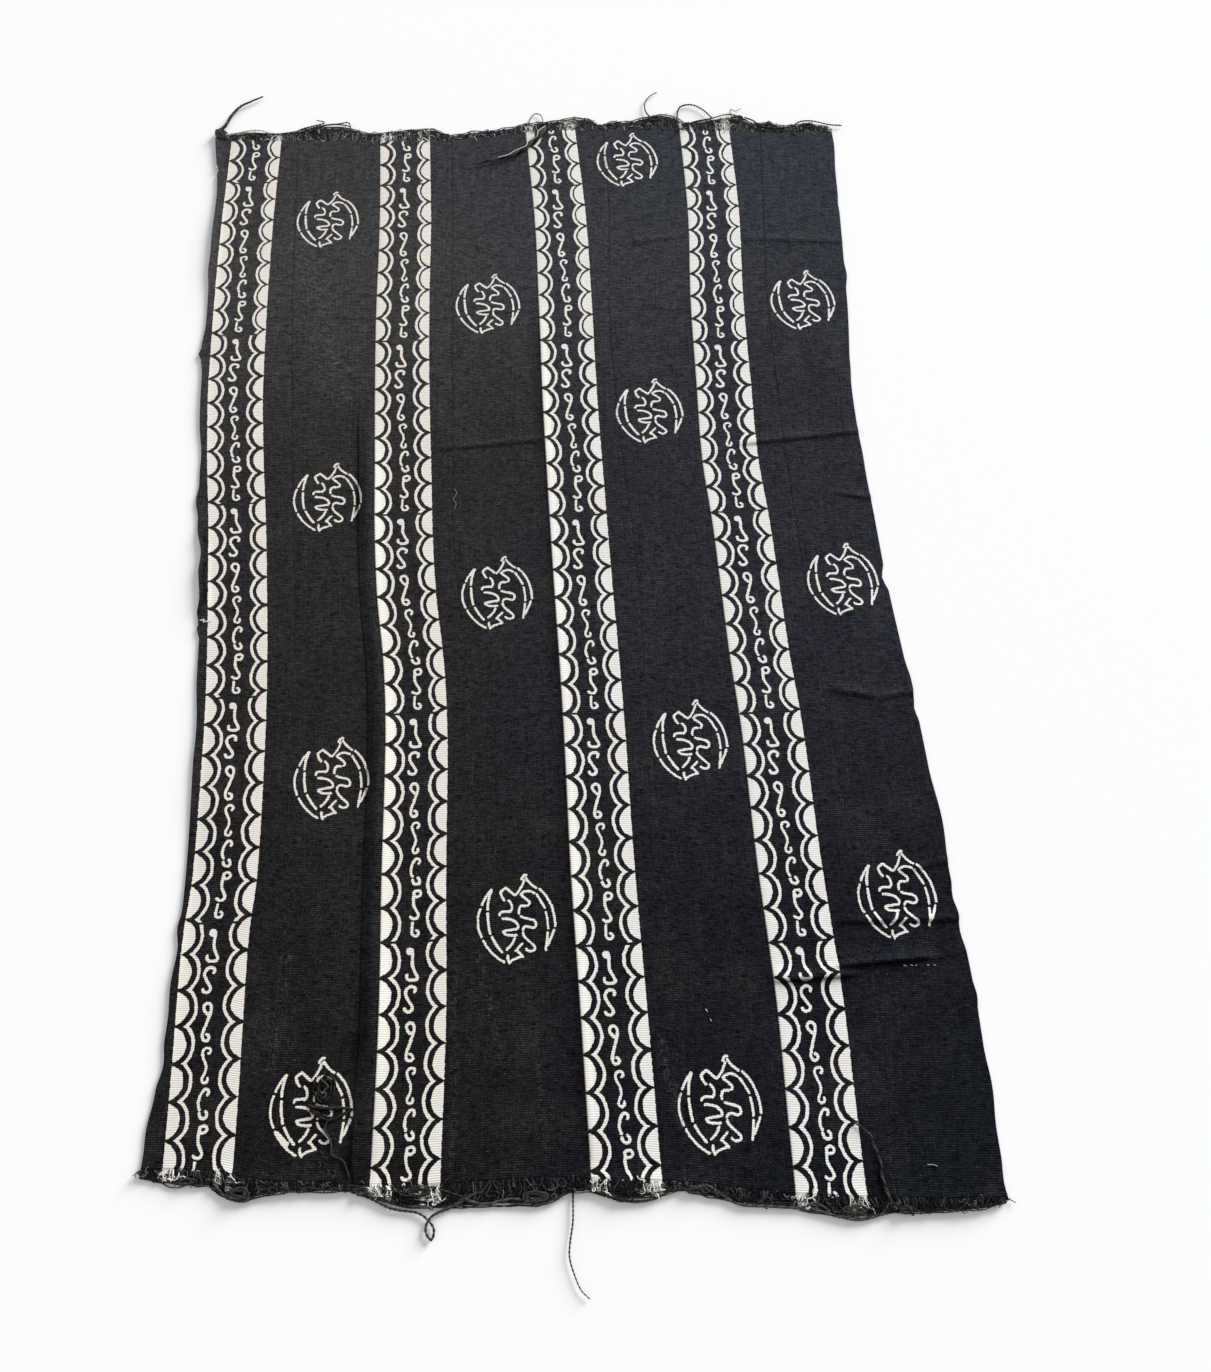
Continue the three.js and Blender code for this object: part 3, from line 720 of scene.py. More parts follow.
def bandGroup():  # half discs and scalloped outlines along both edges of the band
    inputs = {"Print place": "Vector", "Uneven": 0.0, "Right shift": 0.0, "Lead": 0.0}
    tree, n, given, out = newTree("scallopedBand", "Shader", inputs, dict.fromkeys(["Inside", "Edge"]))
    u, count, _ = n.parts(given["Print place"])
    u = n.times(u, 1000.0)
    pitch = stencil["repeat"] / stencil["perRepeat"]
    repeats = n.minus(n.math("DIVIDE", count, float(stencil["perRepeat"])), given["Lead"])
    laidDown = n.math("FLOOR", repeats)
    fromJoint = n.minus(repeats, laidDown)
    fromJoint = n.smaller(fromJoint, n.minus(1.0, fromJoint))
    fromJoint = n.times(fromJoint, stencil["repeat"])
    best = None
    for right in (False, True):
        inward = n.minus(stencil["bandWidth"], u) if right else u
        counted = n.plus(count, given["Right shift"]) if right else count
        step = n.times(n.minus(n.math("FRACT", counted), 0.5), pitch)
        fromCentre = n.minus(inward, stencil["discCentre"])
        slip = n.timesPlus(n.chance(n.join(laidDown, 3.3 if right else 8.1)), 5.0, -2.5)
        ringCentre = n.plus(fromCentre, slip)
        squares = n.plus(n.math("POWER", fromCentre, 2.0), n.math("POWER", step, 2.0))
        away = n.plus(n.math("SQRT", squares), given["Uneven"])
        disc = n.minus(stencil["discRadius"], away)
        squares = n.plus(n.math("POWER", ringCentre, 2.0), n.math("POWER", step, 2.0))
        away = n.plus(n.math("SQRT", squares), n.times(given["Uneven"], 0.7))
        ring = n.math("ABSOLUTE", n.minus(away, stencil["outlineRadius"]))
        ring = n.minus(stencil["outlineHalf"], ring)
        ring = n.smaller(ring, n.minus(fromJoint, 1.6))
        shape = n.smaller(n.larger(disc, ring), inward)
        best = shape if best is None else n.larger(best, shape)
    n.put(out["Inside"], best)
    n.put(out["Edge"], u)
    return tree


# the fade group also holds painted sheen and light falloff, and the painted shade and highlights of folds and
# ribs
groups = {"weave": weaveGroup(), "fade": fadeAndPaintedLightGroup(), "band": bandGroup()}


def clothMaterial(name, printed, rightShift=0.0, lead=0.0, rimShare=0.0):
    material, n, shader = newMaterial(name)
    place, objectPlace = n.flat("weave"), n.objectPlace()
    weave = n.new("ShaderNodeGroup", node_tree=groups["weave"])
    n.put(weave.inputs["Place"], place)
    weave = weave.outputs
    ground = n.new("ShaderNodeGroup", node_tree=groups["fade"])
    # painted shade and highlights of folds, kept at each point
    foldShading = n.perPoint("foldShading")
    given = {"Object place": objectPlace, "Place": place, "Fold shading": foldShading, "Dusty": n.perPoint("dusty")}
    given.update((key, weave[key]) for key in ("Tone", "Groove", "Streak"))
    for key, value in given.items():
        n.put(ground.inputs[key], value)
    charcoal = ground.outputs["Color"]
    x, _, _ = n.parts(place)
    fray = n.join(n.times(x, 330.0), n.times(weave["Rib"], 2.17))
    ragged = n.minus(n.noise(fray, 1.0, 2.0, 0.6, "2D"), 0.5)
    inside = ink = n.perPoint("ink")
    if printed:
        wobble = n.minus(n.noise(objectPlace, 55.0, 2.0), 0.5)
        band = n.new("ShaderNodeGroup", node_tree=groups["band"])
        n.put(band.inputs["Print place"], n.flat("print"))
        n.put(band.inputs["Uneven"], n.times(wobble, 4.5))
        n.put(band.inputs["Right shift"], rightShift)
        n.put(band.inputs["Lead"], lead)
        rim = n.times(n.smooth(band.outputs["Edge"], 0.9, 1.6, rimShare, 0.0), 0.6)
        charcoal = n.mix(rim, charcoal, overCharcoal["rim"])
        inside = n.larger(ink, band.outputs["Inside"])
    inside = n.plus(inside, n.times(ragged, 2.2))
    paint = n.smooth(inside, -0.25, 0.35)
    thin = n.noise(objectPlace, 130.0, 3.0, 0.7)
    worn = n.times(n.smooth(thin, 0.62, 0.8), n.smooth(weave["Groove"], 0.3, 0.9))
    paint = n.times(paint, n.minus(1.0, n.times(worn, 0.75)))
    cream = n.noise(objectPlace, 14.0, 3.0)
    objectX, _, _ = n.parts(objectPlace)
    cool = n.plus(n.smooth(cream, 0.3, 0.7, -0.3, 0.3), n.smooth(objectX, -0.35, 0.35))
    white = n.mix(n.larger(cool, 0.0), whites["left"], whites["right"])
    white = n.mix(n.smooth(weave["Groove"], 0.45, 1.0, 0.0, 0.75), white, whites["groove"])
    white = n.mix(n.smooth(weave["Tone"], 0.3, 0.75, 0.0, 0.45), white, whites["thread"])
    # painted shade on the white print at the feet of folds
    dark = n.timesPlus(n.smaller(foldShading, 0.0), -0.9, 0.0)
    white = n.mix(dark, white, whites["foot"])
    n.put(shader["Base Color"], n.mix(paint, charcoal, white))
    n.put(shader["Roughness"], n.timesPlus(paint, -0.1, 0.92))
    n.put(shader["Specular IOR Level"], 0.05)
    fuzz = n.noise(objectPlace, 900.0, 2.0)
    height = n.plus(weave["Height"], n.times(fuzz, 0.35))
    bump = n.new("ShaderNodeBump", {"Strength": 0.55, "Distance": 0.0006, "Height": height})
    n.put(shader["Normal"], bump.outputs[0])
    return material


# strips
def columnPlaces(width):
    edge = [0.0, 0.7, 2.2]
    count = round((width - 2 * edge[-1]) / cloth["cell"])
    inner = list(np.linspace(edge[-1], width - edge[-1], count + 1))[1:-1]
    return np.array(edge + inner + [width - e for e in reversed(edge)]) / width


def stripPlace(index, s, t):
    gap = cloth["seamGap"] / 2
    y = np.zeros(np.broadcast(s, t).shape)
    x = lineX(lines[index], y) * (1 - s) + lineX(lines[index + 1], y) * s
    for _ in range(3):
        near, far = endY("near", x), endY("far", x)
        y = near + (far - near) * t
        left, right = lineX(lines[index], y) + gap, lineX(lines[index + 1], y) - gap
        if index == 0:
            left = left + selvageShift("left", y)
        if index == 7:
            right = right + selvageShift("right", y)
        x = left + (right - left) * s
    return x, y, left, right, near, far


# pale dust rubbed into the cloth: from, to, half width, strength
dustMarks = [
    ((-106, -530), (-62, -712), 7, 0.4),
    ((-130, -520), (-133, -818), 5, 0.35),
    ((-338, -528), (-350, -600), 5, 0.8),
    ((-350, -600), (-356, -700), 3, 0.45),
    ((-336, -625), (-326, -672), 2.5, 0.6),
    ((-390, 640), (-300, 280), 42, 0.4),
    ((118, -640), (150, -790), 12, 0.3),
    ((-30, -640), (-20, -800), 4, 0.4),
    ((200, -690), (206, -800), 4, 0.4),
]
# painted shade in the hollows beside rolled edges and at the near end of the long ridge
paintedHollowShade = [
    ((-497, 80), (-488, -10), 3.4, 1.0),
    ((-489, 12), (-485, -58), 3.6, 1.0),
    ((-263, -770), (-246, -825), 6, 1.0),
    ((-256, -640), (-258, -800), 5, 0.5),
]
shadedRidgeFoot = ("s23", -24, 340)  # painted shade at the sharp foot of the long ridge: seam, offset, far end
# painted shade along seams, on their shaded flanks and grooves: name, offset from the seam, from, to, half
# width to the left and right, strength
paintedSeamShade = [
    ("s23", 0, 420, -800, 2.5, 2.5, 0.45),
    ("s23", -26, 340, 60, 7, 4, 0.4),
    (*shadedRidgeFoot, -800, 3.2, 1.6, 0.9),
    ("s45", 0, 500, -810, 5, 3, 0.8),
    ("s67", 0, 700, -840, 3, 2, 0.45),
]


def streaksAt(x, y, streaks, fadeLength):
    most = np.zeros(np.shape(x))
    for start, end, half, strength in streaks:
        side, share = fadedLine(start + end, fadeLength, x, y)
        most = np.maximum(most, strength * share * hump(side / half))
    return most


def dustAt(x, y):
    dust = streaksAt(x, y, dustMarks, 30)
    for name in lines[1:-1]:
        dust = np.maximum(dust, 0.12 * hump((x - lineX(name, y)) / 5))
    return dust


def paintedFoldShadeAt(x, y):  # above 0 a painted highlight on the crest of a fold, below 0 painted shade at its foot, along seams and in hollows
    foldShading = np.zeros(np.shape(x))
    for *line, top, _, near, fade in creases:
        side, share = fadedLine(line, fade, x, y)
        size = min(1.0, (top / 6) ** 1.5)
        foot = hump((side + near * 0.6) / 3.2, 1.3, 0.8)
        paintedCrestLight = hump((side - 2.5) / 5, 1, 1.6)
        foldShading = foldShading + share * size * (0.5 * paintedCrestLight - 1.1 * foot)
    for name, offset, far, near, left, right, strength in paintedSeamShade:
        fade = smoothStep((far - y) / 120) * smoothStep((y - near) / 20)
        foldShading = foldShading - strength * fade * hump(x - lineX(name, y) - offset, left, right)
    return np.clip(foldShading - streaksAt(x, y, paintedHollowShade, 14), -1, 1)


def symbolInk(x, y):
    ink = np.full(x.shape, noInk)
    for centreX, centreY in symbolPlaces:
        near = (np.abs(x - centreX) < symbolReach[0]) & (np.abs(y - centreY) < symbolReach[1])
        ink[near] = np.maximum(ink[near], inkAt(x[near] - centreX, y[near] - centreY, symbolLines))
    return ink


def needsFine(index, x, y):
    fine = np.zeros(x.shape, bool)
    if index in bands:
        fine |= scrollInk(index, x, y) > noInk
    fine |= symbolInk(x, y) > noInk
    for *line, _, far, near, _ in creases:
        along, side, length = besideLine(line, x, y)
        fine |= (along > 0) & (along < length) & (side > -near - 2) & (side < far * 0.6)
    seam, offset, footEnd = shadedRidgeFoot
    fine |= (np.abs(x - lineX(seam, y) - offset) < 4) & (y < footEnd)
    return fine


def topFaces(fine, split):
    rowCount, columnCount = fine.shape
    wide = columnCount * split + 1
    padded = np.pad(fine, 1)
    faces = []
    for r in range(rowCount):
        for c in range(columnCount):
            i, j = c * split, r * split
            if fine[r, c]:
                for b in range(split):
                    for a in range(split):
                        p = (j + b) * wide + i + a
                        faces.append((p, p + 1, p + 1 + wide, p + wide))
                continue
            below, rightFine = padded[r, c + 1], padded[r + 1, c + 2]
            above, leftFine = padded[r + 2, c + 1], padded[r + 1, c]
            loop = [j * wide + i + a for a in (range(split) if below else (0,))]
            loop += [(j + b) * wide + i + split for b in (range(split) if rightFine else (0,))]
            loop += [(j + split) * wide + i + split - a for a in (range(split) if above else (0,))]
            loop += [(j + split - b) * wide + i for b in (range(split) if leftFine else (0,))]
            faces.append(tuple(loop))
    return faces, wide


def spread(places, split):  # places with the finer ones between them
    count = (len(places) - 1) * split + 1
    return np.interp(np.arange(count) / split, np.arange(len(places)), places)


def perPoint(mesh, values):
    for name, value in values.items():
        value = np.array(value, np.float32)
        mesh.attributes.new(name, "FLOAT", "POINT").data.foreach_set("value", value)


def addMap(mesh, name, places):
    corner = np.empty(len(mesh.loops), np.int32)
    mesh.loops.foreach_get("vertex_index", corner)
    mesh.uv_layers.new(name=name).data.foreach_set("uv", places[corner].astype(np.float32).ravel())


def fineCells(index, columns, rows):
    s, t = np.meshgrid((columns[1:] + columns[:-1]) / 2, (rows[1:] + rows[:-1]) / 2)
    x, y, *_ = stripPlace(index, s, t)
    fine = needsFine(index, x, y)
    fine[:, [0, 1, -2, -1]] &= (symbolInk(x, y) > noInk)[:, [0, 1, -2, -1]]
    return fine


def topHeight(x, y, left, right, near, far):
    fromEdge, fromEnd = np.minimum(x - left, right - x), np.minimum(far - y, y - near)
    drop = cloth["selvageDrop"] * np.clip(1 - fromEdge / 2.4, 0, 1) ** 2
    endDrop = cloth["selvageDrop"] * np.clip(1 - fromEnd / 3, 0, 1) ** 2
    return rise(x, y) + ripple(x, y) + edgeLift(x, y) + cloth["thick"] - drop - endDrop


def underHeight(x, y):
    beside = [rise(x + a, y + b) for a in (-6, 0, 6) for b in (-6, 0, 6)]
    return np.min(beside, axis=0) + ripple(x, y) * 0.4 + edgeLift(x, y)


def underFaces(number, start, wide, underColumns, underRows):  # the underside, and walls up to the top
    across, split = len(underColumns), cloth["split"]
    faces = []
    for r in range(len(underRows) - 1):
        for c in range(across - 1):
            p = start + r * across + c
            faces.append((p, p + across, p + across + 1, p + 1))

    def topRun(codes):
        return [number[code] for code in codes if code in number]

    rightmost, farRow = underColumns[-1] * split, underRows[-1] * split * wide
    for r in range(len(underRows) - 1):
        low, high = underRows[r] * split * wide, underRows[r + 1] * split * wide
        p = start + r * across
        q = p + across - 1
        faces.append((p, *topRun(range(low, high + 1, wide)), p + across))
        faces.append((q + across, *topRun(range(high + rightmost, low + rightmost - 1, -wide)), q))
    last = start + (len(underRows) - 1) * across
    for c in range(across - 1):
        low, high = underColumns[c] * split, underColumns[c + 1] * split
        faces.append((start + c + 1, *topRun(range(high, low - 1, -1)), start + c))
        faces.append((last + c, *topRun(range(farRow + low, farRow + high + 1)), last + c + 1))
    return faces


def buildStrip(index, material):
    split, under = cloth["split"], cloth["underStep"]
    columns = columnPlaces(lineX(lines[index + 1], 0.0) - lineX(lines[index], 0.0))
    rowCount = under * round(1640 / cloth["cell"] / under)
    rows = np.linspace(0, 1, rowCount + 1)
    faces, wide = topFaces(fineCells(index, columns, rows), split)
    used = np.unique(np.concatenate([np.array(face) for face in faces]))
    number = {int(code): i for i, code in enumerate(used)}
    start = len(used)
    faces = [tuple(number[code] for code in face) for face in faces]
    underColumns = sorted(set(range(0, len(columns), under)) | {len(columns) - 1})
    underRows = list(range(0, rowCount + 1, under))
    faces += underFaces(number, start, wide, underColumns, underRows)
    underS, underT = np.meshgrid(columns[underColumns], rows[underRows])
    s = np.concatenate([spread(columns, split)[used % wide], underS.ravel()])
    t = np.concatenate([spread(rows, split)[used // wide], underT.ravel()])
    x, y, left, right, near, far = stripPlace(index, s, t)
    z = topHeight(x, y, left, right, near, far)
    z[start:] = underHeight(x[start:], y[start:])
    mesh = bpy.data.meshes.new(f"clothStrip{index + 1}")
    mesh.from_pydata(toFrame(np.stack([x, y, z], 1)).tolist(), [], faces)
    ink = np.full(len(x), noInk)
    topX, topY = x[:start], y[:start]
    ink[:start] = symbolInk(topX, topY)
    if index in bands:
        ink[:start] = np.maximum(ink[:start], scrollInk(index, topX, topY))
    blotLines = [line for stroke in blots.get(index, []) for line in penStroke(*stroke)]
    ink[:start] = np.maximum(ink[:start], inkAt(topX, topY, blotLines))
    perPoint(mesh, {"ink": ink, "dusty": dustAt(x, y), "foldShading": paintedFoldShadeAt(x, y)})
    along = (y - near) / (far - near) * cloth["length"]
    addMap(mesh, "weave", np.stack([(x - left) / 1000, along], 1))
    if index in bands:
        u = np.where(np.arange(len(x)) < start, (x - bandEdge(index, y)) / 1000, -0.05)
        addMap(mesh, "print", np.stack([u, printCount(index, y, "left") + countFrom], 1))
    mesh.shade_smooth()
    mesh.materials.append(material)
    strip = addObject(f"clothStrip{index + 1}", mesh)
    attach(strip, "root")
    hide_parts(f"strip_{index + 1}")
    return strip


plainMaterial = clothMaterial("plainCharcoalCloth", False)
for index in range(8):
    own = plainMaterial
    if index in bands:
        band, repeat, perRepeat = bands[index], stencil["repeat"], stencil["perRepeat"]
        shift = (band["right"] - band["left"]) / repeat * perRepeat
        lead = countFrom / perRepeat + band["left"] / repeat - stencil["jointLead"]
        rimShare = 1.0 if band["edge"] else 0.0
        own = clothMaterial(f"printedCloth{index // 2 + 1}", True, shift, lead, rimShare)
    strip = buildStrip(index, own)
    print(strip.name, len(strip.data.polygons), "faces")

# yarns
rng = np.random.default_rng(7)


def smoothRoute(points, step):
    points = [np.array(point, float) for point in points]
    ghost = [2 * points[0] - points[1]] + points + [2 * points[-1] - points[-2]]
    route = []
    for i in range(1, len(ghost) - 2):
        a, b, c, d = ghost[i - 1:i + 3]
        count = max(1, math.ceil(np.linalg.norm(c - b) / step))
        for j in range(count):
            t = j / count
            square, cube = 2 * a - 5 * b + 4 * c - d, 3 * b - a - 3 * c + d
            route.append(0.5 * (2 * b + (c - a) * t + square * t ** 2 + cube * t ** 3))
    route.append(points[-1])
    return np.array(route)


def overCloth(x, y):  # top of the cloth, or the floor outside it
    x = np.asarray(x, float)
    y = np.asarray(y, float)
    inside = (y < endY("far", x)) & (y > endY("near", x)) & (x > lineX("left", y)) & (x < lineX("right", y))
    return np.where(inside, rise(x, y) + ripple(x, y) + edgeLift(x, y) + cloth["thick"], 0.0)


class YarnPile:  # paths of many yarns, made into one mesh later
    def __init__(self):
        self.points, self.edges, self.girth, self.tone = [], [], [], []

    def add(self, path, girth, tone):
        first = len(self.points)
        self.points.extend(np.asarray(path, float).tolist())
        count = len(path)
        self.edges.extend((first + i, first + i + 1) for i in range(count - 1))
        self.girth.extend(np.broadcast_to(girth, count).tolist())
        self.tone.extend(np.broadcast_to(tone, count).tolist())

    def addTwisted(self, path, width, tone, plies=2, pitch=3.4, tip=0.65):  # tip: the width left at its end
        path = np.asarray(path, float)
        ahead = np.gradient(path, axis=0)
        ahead /= np.maximum(np.linalg.norm(ahead, axis=1, keepdims=True), 1e-9)
        sideways = np.cross(ahead, [0, 0, 1])
        sideways /= np.maximum(np.linalg.norm(sideways, axis=1, keepdims=True), 1e-9)
        upward = np.cross(sideways, ahead)
        travel = np.concatenate([[0], np.cumsum(np.linalg.norm(np.diff(path, axis=0), axis=1))])
        taper = 1 - (1 - tip) * (travel / travel[-1]) ** 1.3
        for ply in range(plies):
            turn = (travel / (pitch * width) * 2 * np.pi + ply * 2 * np.pi / plies)[:, None]
            reach = (width * 0.23 * taper)[:, None]
            own = path + reach * (np.cos(turn) * sideways + np.sin(turn) * upward)
            self.add(own, width * 0.29 * taper, tone + 0.03 * ply)


def finishTree(n, geometry, start, out):
    whole = n.new("GeometryNodeRealizeInstances", {"Geometry": geometry})
    smooth = n.new("GeometryNodeSetShadeSmooth", {"Geometry": whole.outputs[0]})
    painted = n.new("GeometryNodeSetMaterial", {"Geometry": smooth.outputs[0], "Material": start["Material"]})
    n.put(out["Geometry"], painted.outputs[0])


def yarnTree():  # geometry nodes: a tube of yarn along every path
    inputs = {"Geometry": "Geometry", "Sides": "Int", "Material": "Material"}
    tree, n, start, out = newTree("yarnAlongPaths", "Geometry", inputs, {"Geometry": "Geometry"})
    toCurve = n.new("GeometryNodeMeshToCurve", {"Mesh": start["Geometry"]})
    girth = n.new("GeometryNodeInputNamedAttribute", {"Name": "girth"}, data_type="FLOAT")
    ring = n.new("GeometryNodeCurvePrimitiveCircle", {"Resolution": start["Sides"], "Radius": 1.0})
    tube = n.new("GeometryNodeCurveToMesh", {
        "Curve": toCurve.outputs[0], "Profile Curve": ring.outputs["Curve"],
        "Scale": girth.outputs["Attribute"], "Fill Caps": True,
    })
    finishTree(n, tube.outputs[0], start, out)
    return tree


def applyTree(name, source, tree, values):
    holder = addObject(name + "Paths", source)
    modifier = holder.modifiers.new("made", "NODES")
    modifier.node_group = tree
    for item in tree.interface.items_tree:
        if item.item_type == "SOCKET" and item.in_out == "INPUT" and item.name in values:
            modifier[item.identifier] = values[item.name]
    holder.update_tag()
    bpy.context.view_layer.update()
    evaluated = holder.evaluated_get(bpy.context.evaluated_depsgraph_get())
    mesh = bpy.data.meshes.new_from_object(evaluated)
    mesh.name = name
    bpy.data.objects.remove(holder)
    return addObject(name, mesh)


treeOfYarn = yarnTree()


def yarnPiece(name, pile, sides, material):
    source = bpy.data.meshes.new(name + "Source")
    source.from_pydata(toFrame(pile.points).tolist(), pile.edges, [])
    perPoint(source, {"girth": np.array(pile.girth) / 1000, "tone": pile.tone})
    piece = applyTree(name, source, treeOfYarn, {"Sides": sides, "Material": material})
    print(name, len(piece.data.polygons), "faces")
    return piece


rubbedYarn = (0.040, 0.037, 0.037, 1)


def yarnMaterial(name, dark, pale, rough=0.6, rubbing=0.5):
    material, n, shader = newMaterial(name)
    place, tone = n.objectPlace(), n.perPoint("tone")
    mottled = n.noise(place, 300.0, 3.0, 0.65)
    colour = n.mix(tone, dark, pale)
    rubbed = n.times(n.smooth(mottled, 0.45, 0.8, 0.0, rubbing), n.minus(1.0, tone))
    colour = n.mix(rubbed, colour, rubbedYarn)
    n.put(shader["Base Color"], colour)
    n.put(shader["Roughness"], n.timesPlus(mottled, 0.15, rough - 0.1))
    n.put(shader["Specular IOR Level"], 0.07)
    twist = n.new("ShaderNodeTexWave", {"Vector": place, "Scale": 420.0, "Distortion": 4.0})
    twist.bands_direction = "DIAGONAL"
    bump = n.new("ShaderNodeBump", {"Strength": 0.5, "Distance": 0.0003, "Height": twist.outputs["Fac"]})
    n.put(shader["Normal"], bump.outputs[0])
    return material


blackYarn, brownBlackYarn = (0.0056, 0.0054, 0.0060, 1), (0.0042, 0.0038, 0.0033, 1)
fringeMaterial = yarnMaterial("frayedCottonYarn", blackYarn, (0.88, 0.86, 0.82, 1), 0.6, 0.35)
tangleMaterial = yarnMaterial("tangledCottonYarn", brownBlackYarn, (0.60, 0.56, 0.50, 1), 0.55, 0.25)
print("yarn materials made")

# outer rim of each frayed end, where its loose wefts lie
rims = {
    "far": [
        (-531, 842), (-502, 845), (-455, 843), (-426, 840), (-392, 847), (-363, 852), (-329, 851),
        (-307, 845), (-273, 833), (-235, 837), (-206, 839), (-167, 838), (-138, 822), (-117, 826),
        (-66, 831), (-36, 835), (-15, 844), (28, 846), (66, 851), (88, 851), (115, 832), (134, 841),
        (160, 839), (194, 849), (216, 855), (233, 851), (257, 832), (283, 835), (339, 841), (371, 827),
        (397, 825), (422, 818), (460, 821), (494, 815), (512, 812), (524, 811),
    ],
    "near": [
        (-506, -797), (-469, -805), (-421, -809), (-402, -822), (-376, -825), (-332, -819), (-254, -821),
        (-246, -818), (-228, -830), (-189, -842), (-148, -845), (-77, -845), (-29, -846), (1, -836),
        (27, -833), (65, -845), (101, -845), (137, -838), (172, -846), (221, -858), (271, -862),
        (294, -870), (347, -877), (383, -874), (418, -874), (454, -875), (495, -873), (525, -868),
    ],
}
# loose yarns: width, share of it left at the tip, plies, tone, height over the cloth, route
looseYarns = {
    "far": [
        (6.0, 0.42, 3, 0.02, 2.2, [(-527, 838), (-530, 849), (-521, 861), (-514, 880), (-501, 900),
         (-485, 911), (-462, 923)]),
        (3.2, 0.7, 2, 0.06, 2.2, [(-527, 846), (-500, 838), (-470, 842), (-440, 838), (-405, 841)]),
        (3.8, 0.8, 2, 0.95, 6.6, [(-518, 836), (-500, 839), (-480, 843), (-462, 843), (-446, 837)]),
        (3.0, 0.6, 2, 0.03, 2.2, [(-403, 840), (-390, 848), (-355, 859), (-368, 866)]),
        (3.2, 0.7, 2, 0.03, 2.2, [(-396, 840), (-366, 851), (-339, 855), (-313, 850), (-309, 840)]),
        (3.0, 0.7, 2, 0.03, 2.2, [(-379, 841), (-355, 853), (-330, 856), (-314, 858), (-310, 846)]),
        (2.2, 0.9, 2, 0.12, 2.2, [(-8, 840), (-6, 852), (3, 863), (12, 860), (16, 847), (12, 838)]),
        (3.0, 0.6, 2, 0.03, 2.2, [(205, 838), (192, 857), (191, 878), (200, 893), (213, 902)]),
        (3.2, 0.8, 2, 0.03, 2.2, [(243, 830), (246, 858), (255, 869), (272, 870), (289, 858), (304, 838)]),
        (2.4, 0.8, 2, 0.03, 2.2, [(229, 845), (237, 828), (248, 815), (262, 821)]),
        (2.8, 0.8, 2, 0.03, 2.2, [(252, 822), (272, 832), (300, 838), (333, 846), (361, 832)]),
        (1.8, 0.7, 2, 0.03, 2.2, [(336, 838), (336, 857), (344, 853), (354, 859)]),
        (3.0, 0.8, 2, 0.03, 2.2, [(358, 838), (372, 830), (384, 818), (408, 812), (434, 813), (452, 824),
         (473, 824), (500, 815), (521, 812)]),
        (1.9, 0.8, 2, 0.8, 6.4, [(20, 831), (8, 818), (4, 805), (-9, 797), (-14, 786), (-30, 778),
         (-44, 768), (-60, 764)]),
        (9.6, 0.2, 4, 0.0, 0.15, [(24, 838), (21, 826), (7, 809), (-7, 794), (-21, 781), (-41, 769),
         (-58, 764), (-75, 760), (-106, 754)]),
    ],
    "near": [
        (2.9, 0.6, 2, 0.03, 2.2, [(11, -815), (10, -842), (9, -866), (5, -888), (4, -904), (9, -922),
         (16, -938), (26, -948)]),
        (3.6, 0.9, 2, 0.03, 2.2, [(-262, -818), (-232, -829), (-204, -842), (-174, -848), (-161, -857),
         (-154, -867), (-157, -878), (-164, -868), (-160, -856), (-150, -849), (-136, -845), (-118, -834),
         (-96, -828)]),
        (3.4, 0.8, 3, 0.03, 2.2, [(-154, -851), (-140, -845), (-124, -840), (-104, -829)]),
        (2.4, 0.8, 2, 0.03, 2.2, [(-225, -826), (-195, -823), (-170, -819), (-146, -824), (-120, -833)]),
        (4.4, 0.8, 3, 0.03, 2.2, [(-418, -800), (-412, -810), (-398, -822), (-377, -826), (-358, -815),
         (-330, -813), (-286, -817), (-250, -819)]),
        (4.0, 0.8, 3, 0.03, 2.2, [(-118, -836), (-95, -842), (-60, -838), (-30, -845), (-8, -840),
         (8, -826)]),
        (3.6, 0.8, 3, 0.03, 2.2, [(28, -826), (45, -838), (80, -847), (110, -844), (130, -832), (150, -836),
         (172, -834), (182, -846)]),
        (3.6, 0.8, 3, 0.03, 2.2, [(178, -838), (205, -855), (240, -859), (276, -862), (296, -858),
         (312, -868)]),
        (3.8, 0.8, 3, 0.03, 2.2, [(290, -864), (320, -873), (345, -878), (372, -873), (383, -862),
         (398, -868), (410, -876)]),
        (5.2, 0.4, 3, 0.0, 0.15, [(383, -862), (381, -848), (378, -834), (378, -815), (373, -800),
         (369, -785), (352, -770)]),
        (1.6, 0.8, 2, 0.03, 2.2, [(512, -866), (524, -864), (532, -868)]),
    ],
}
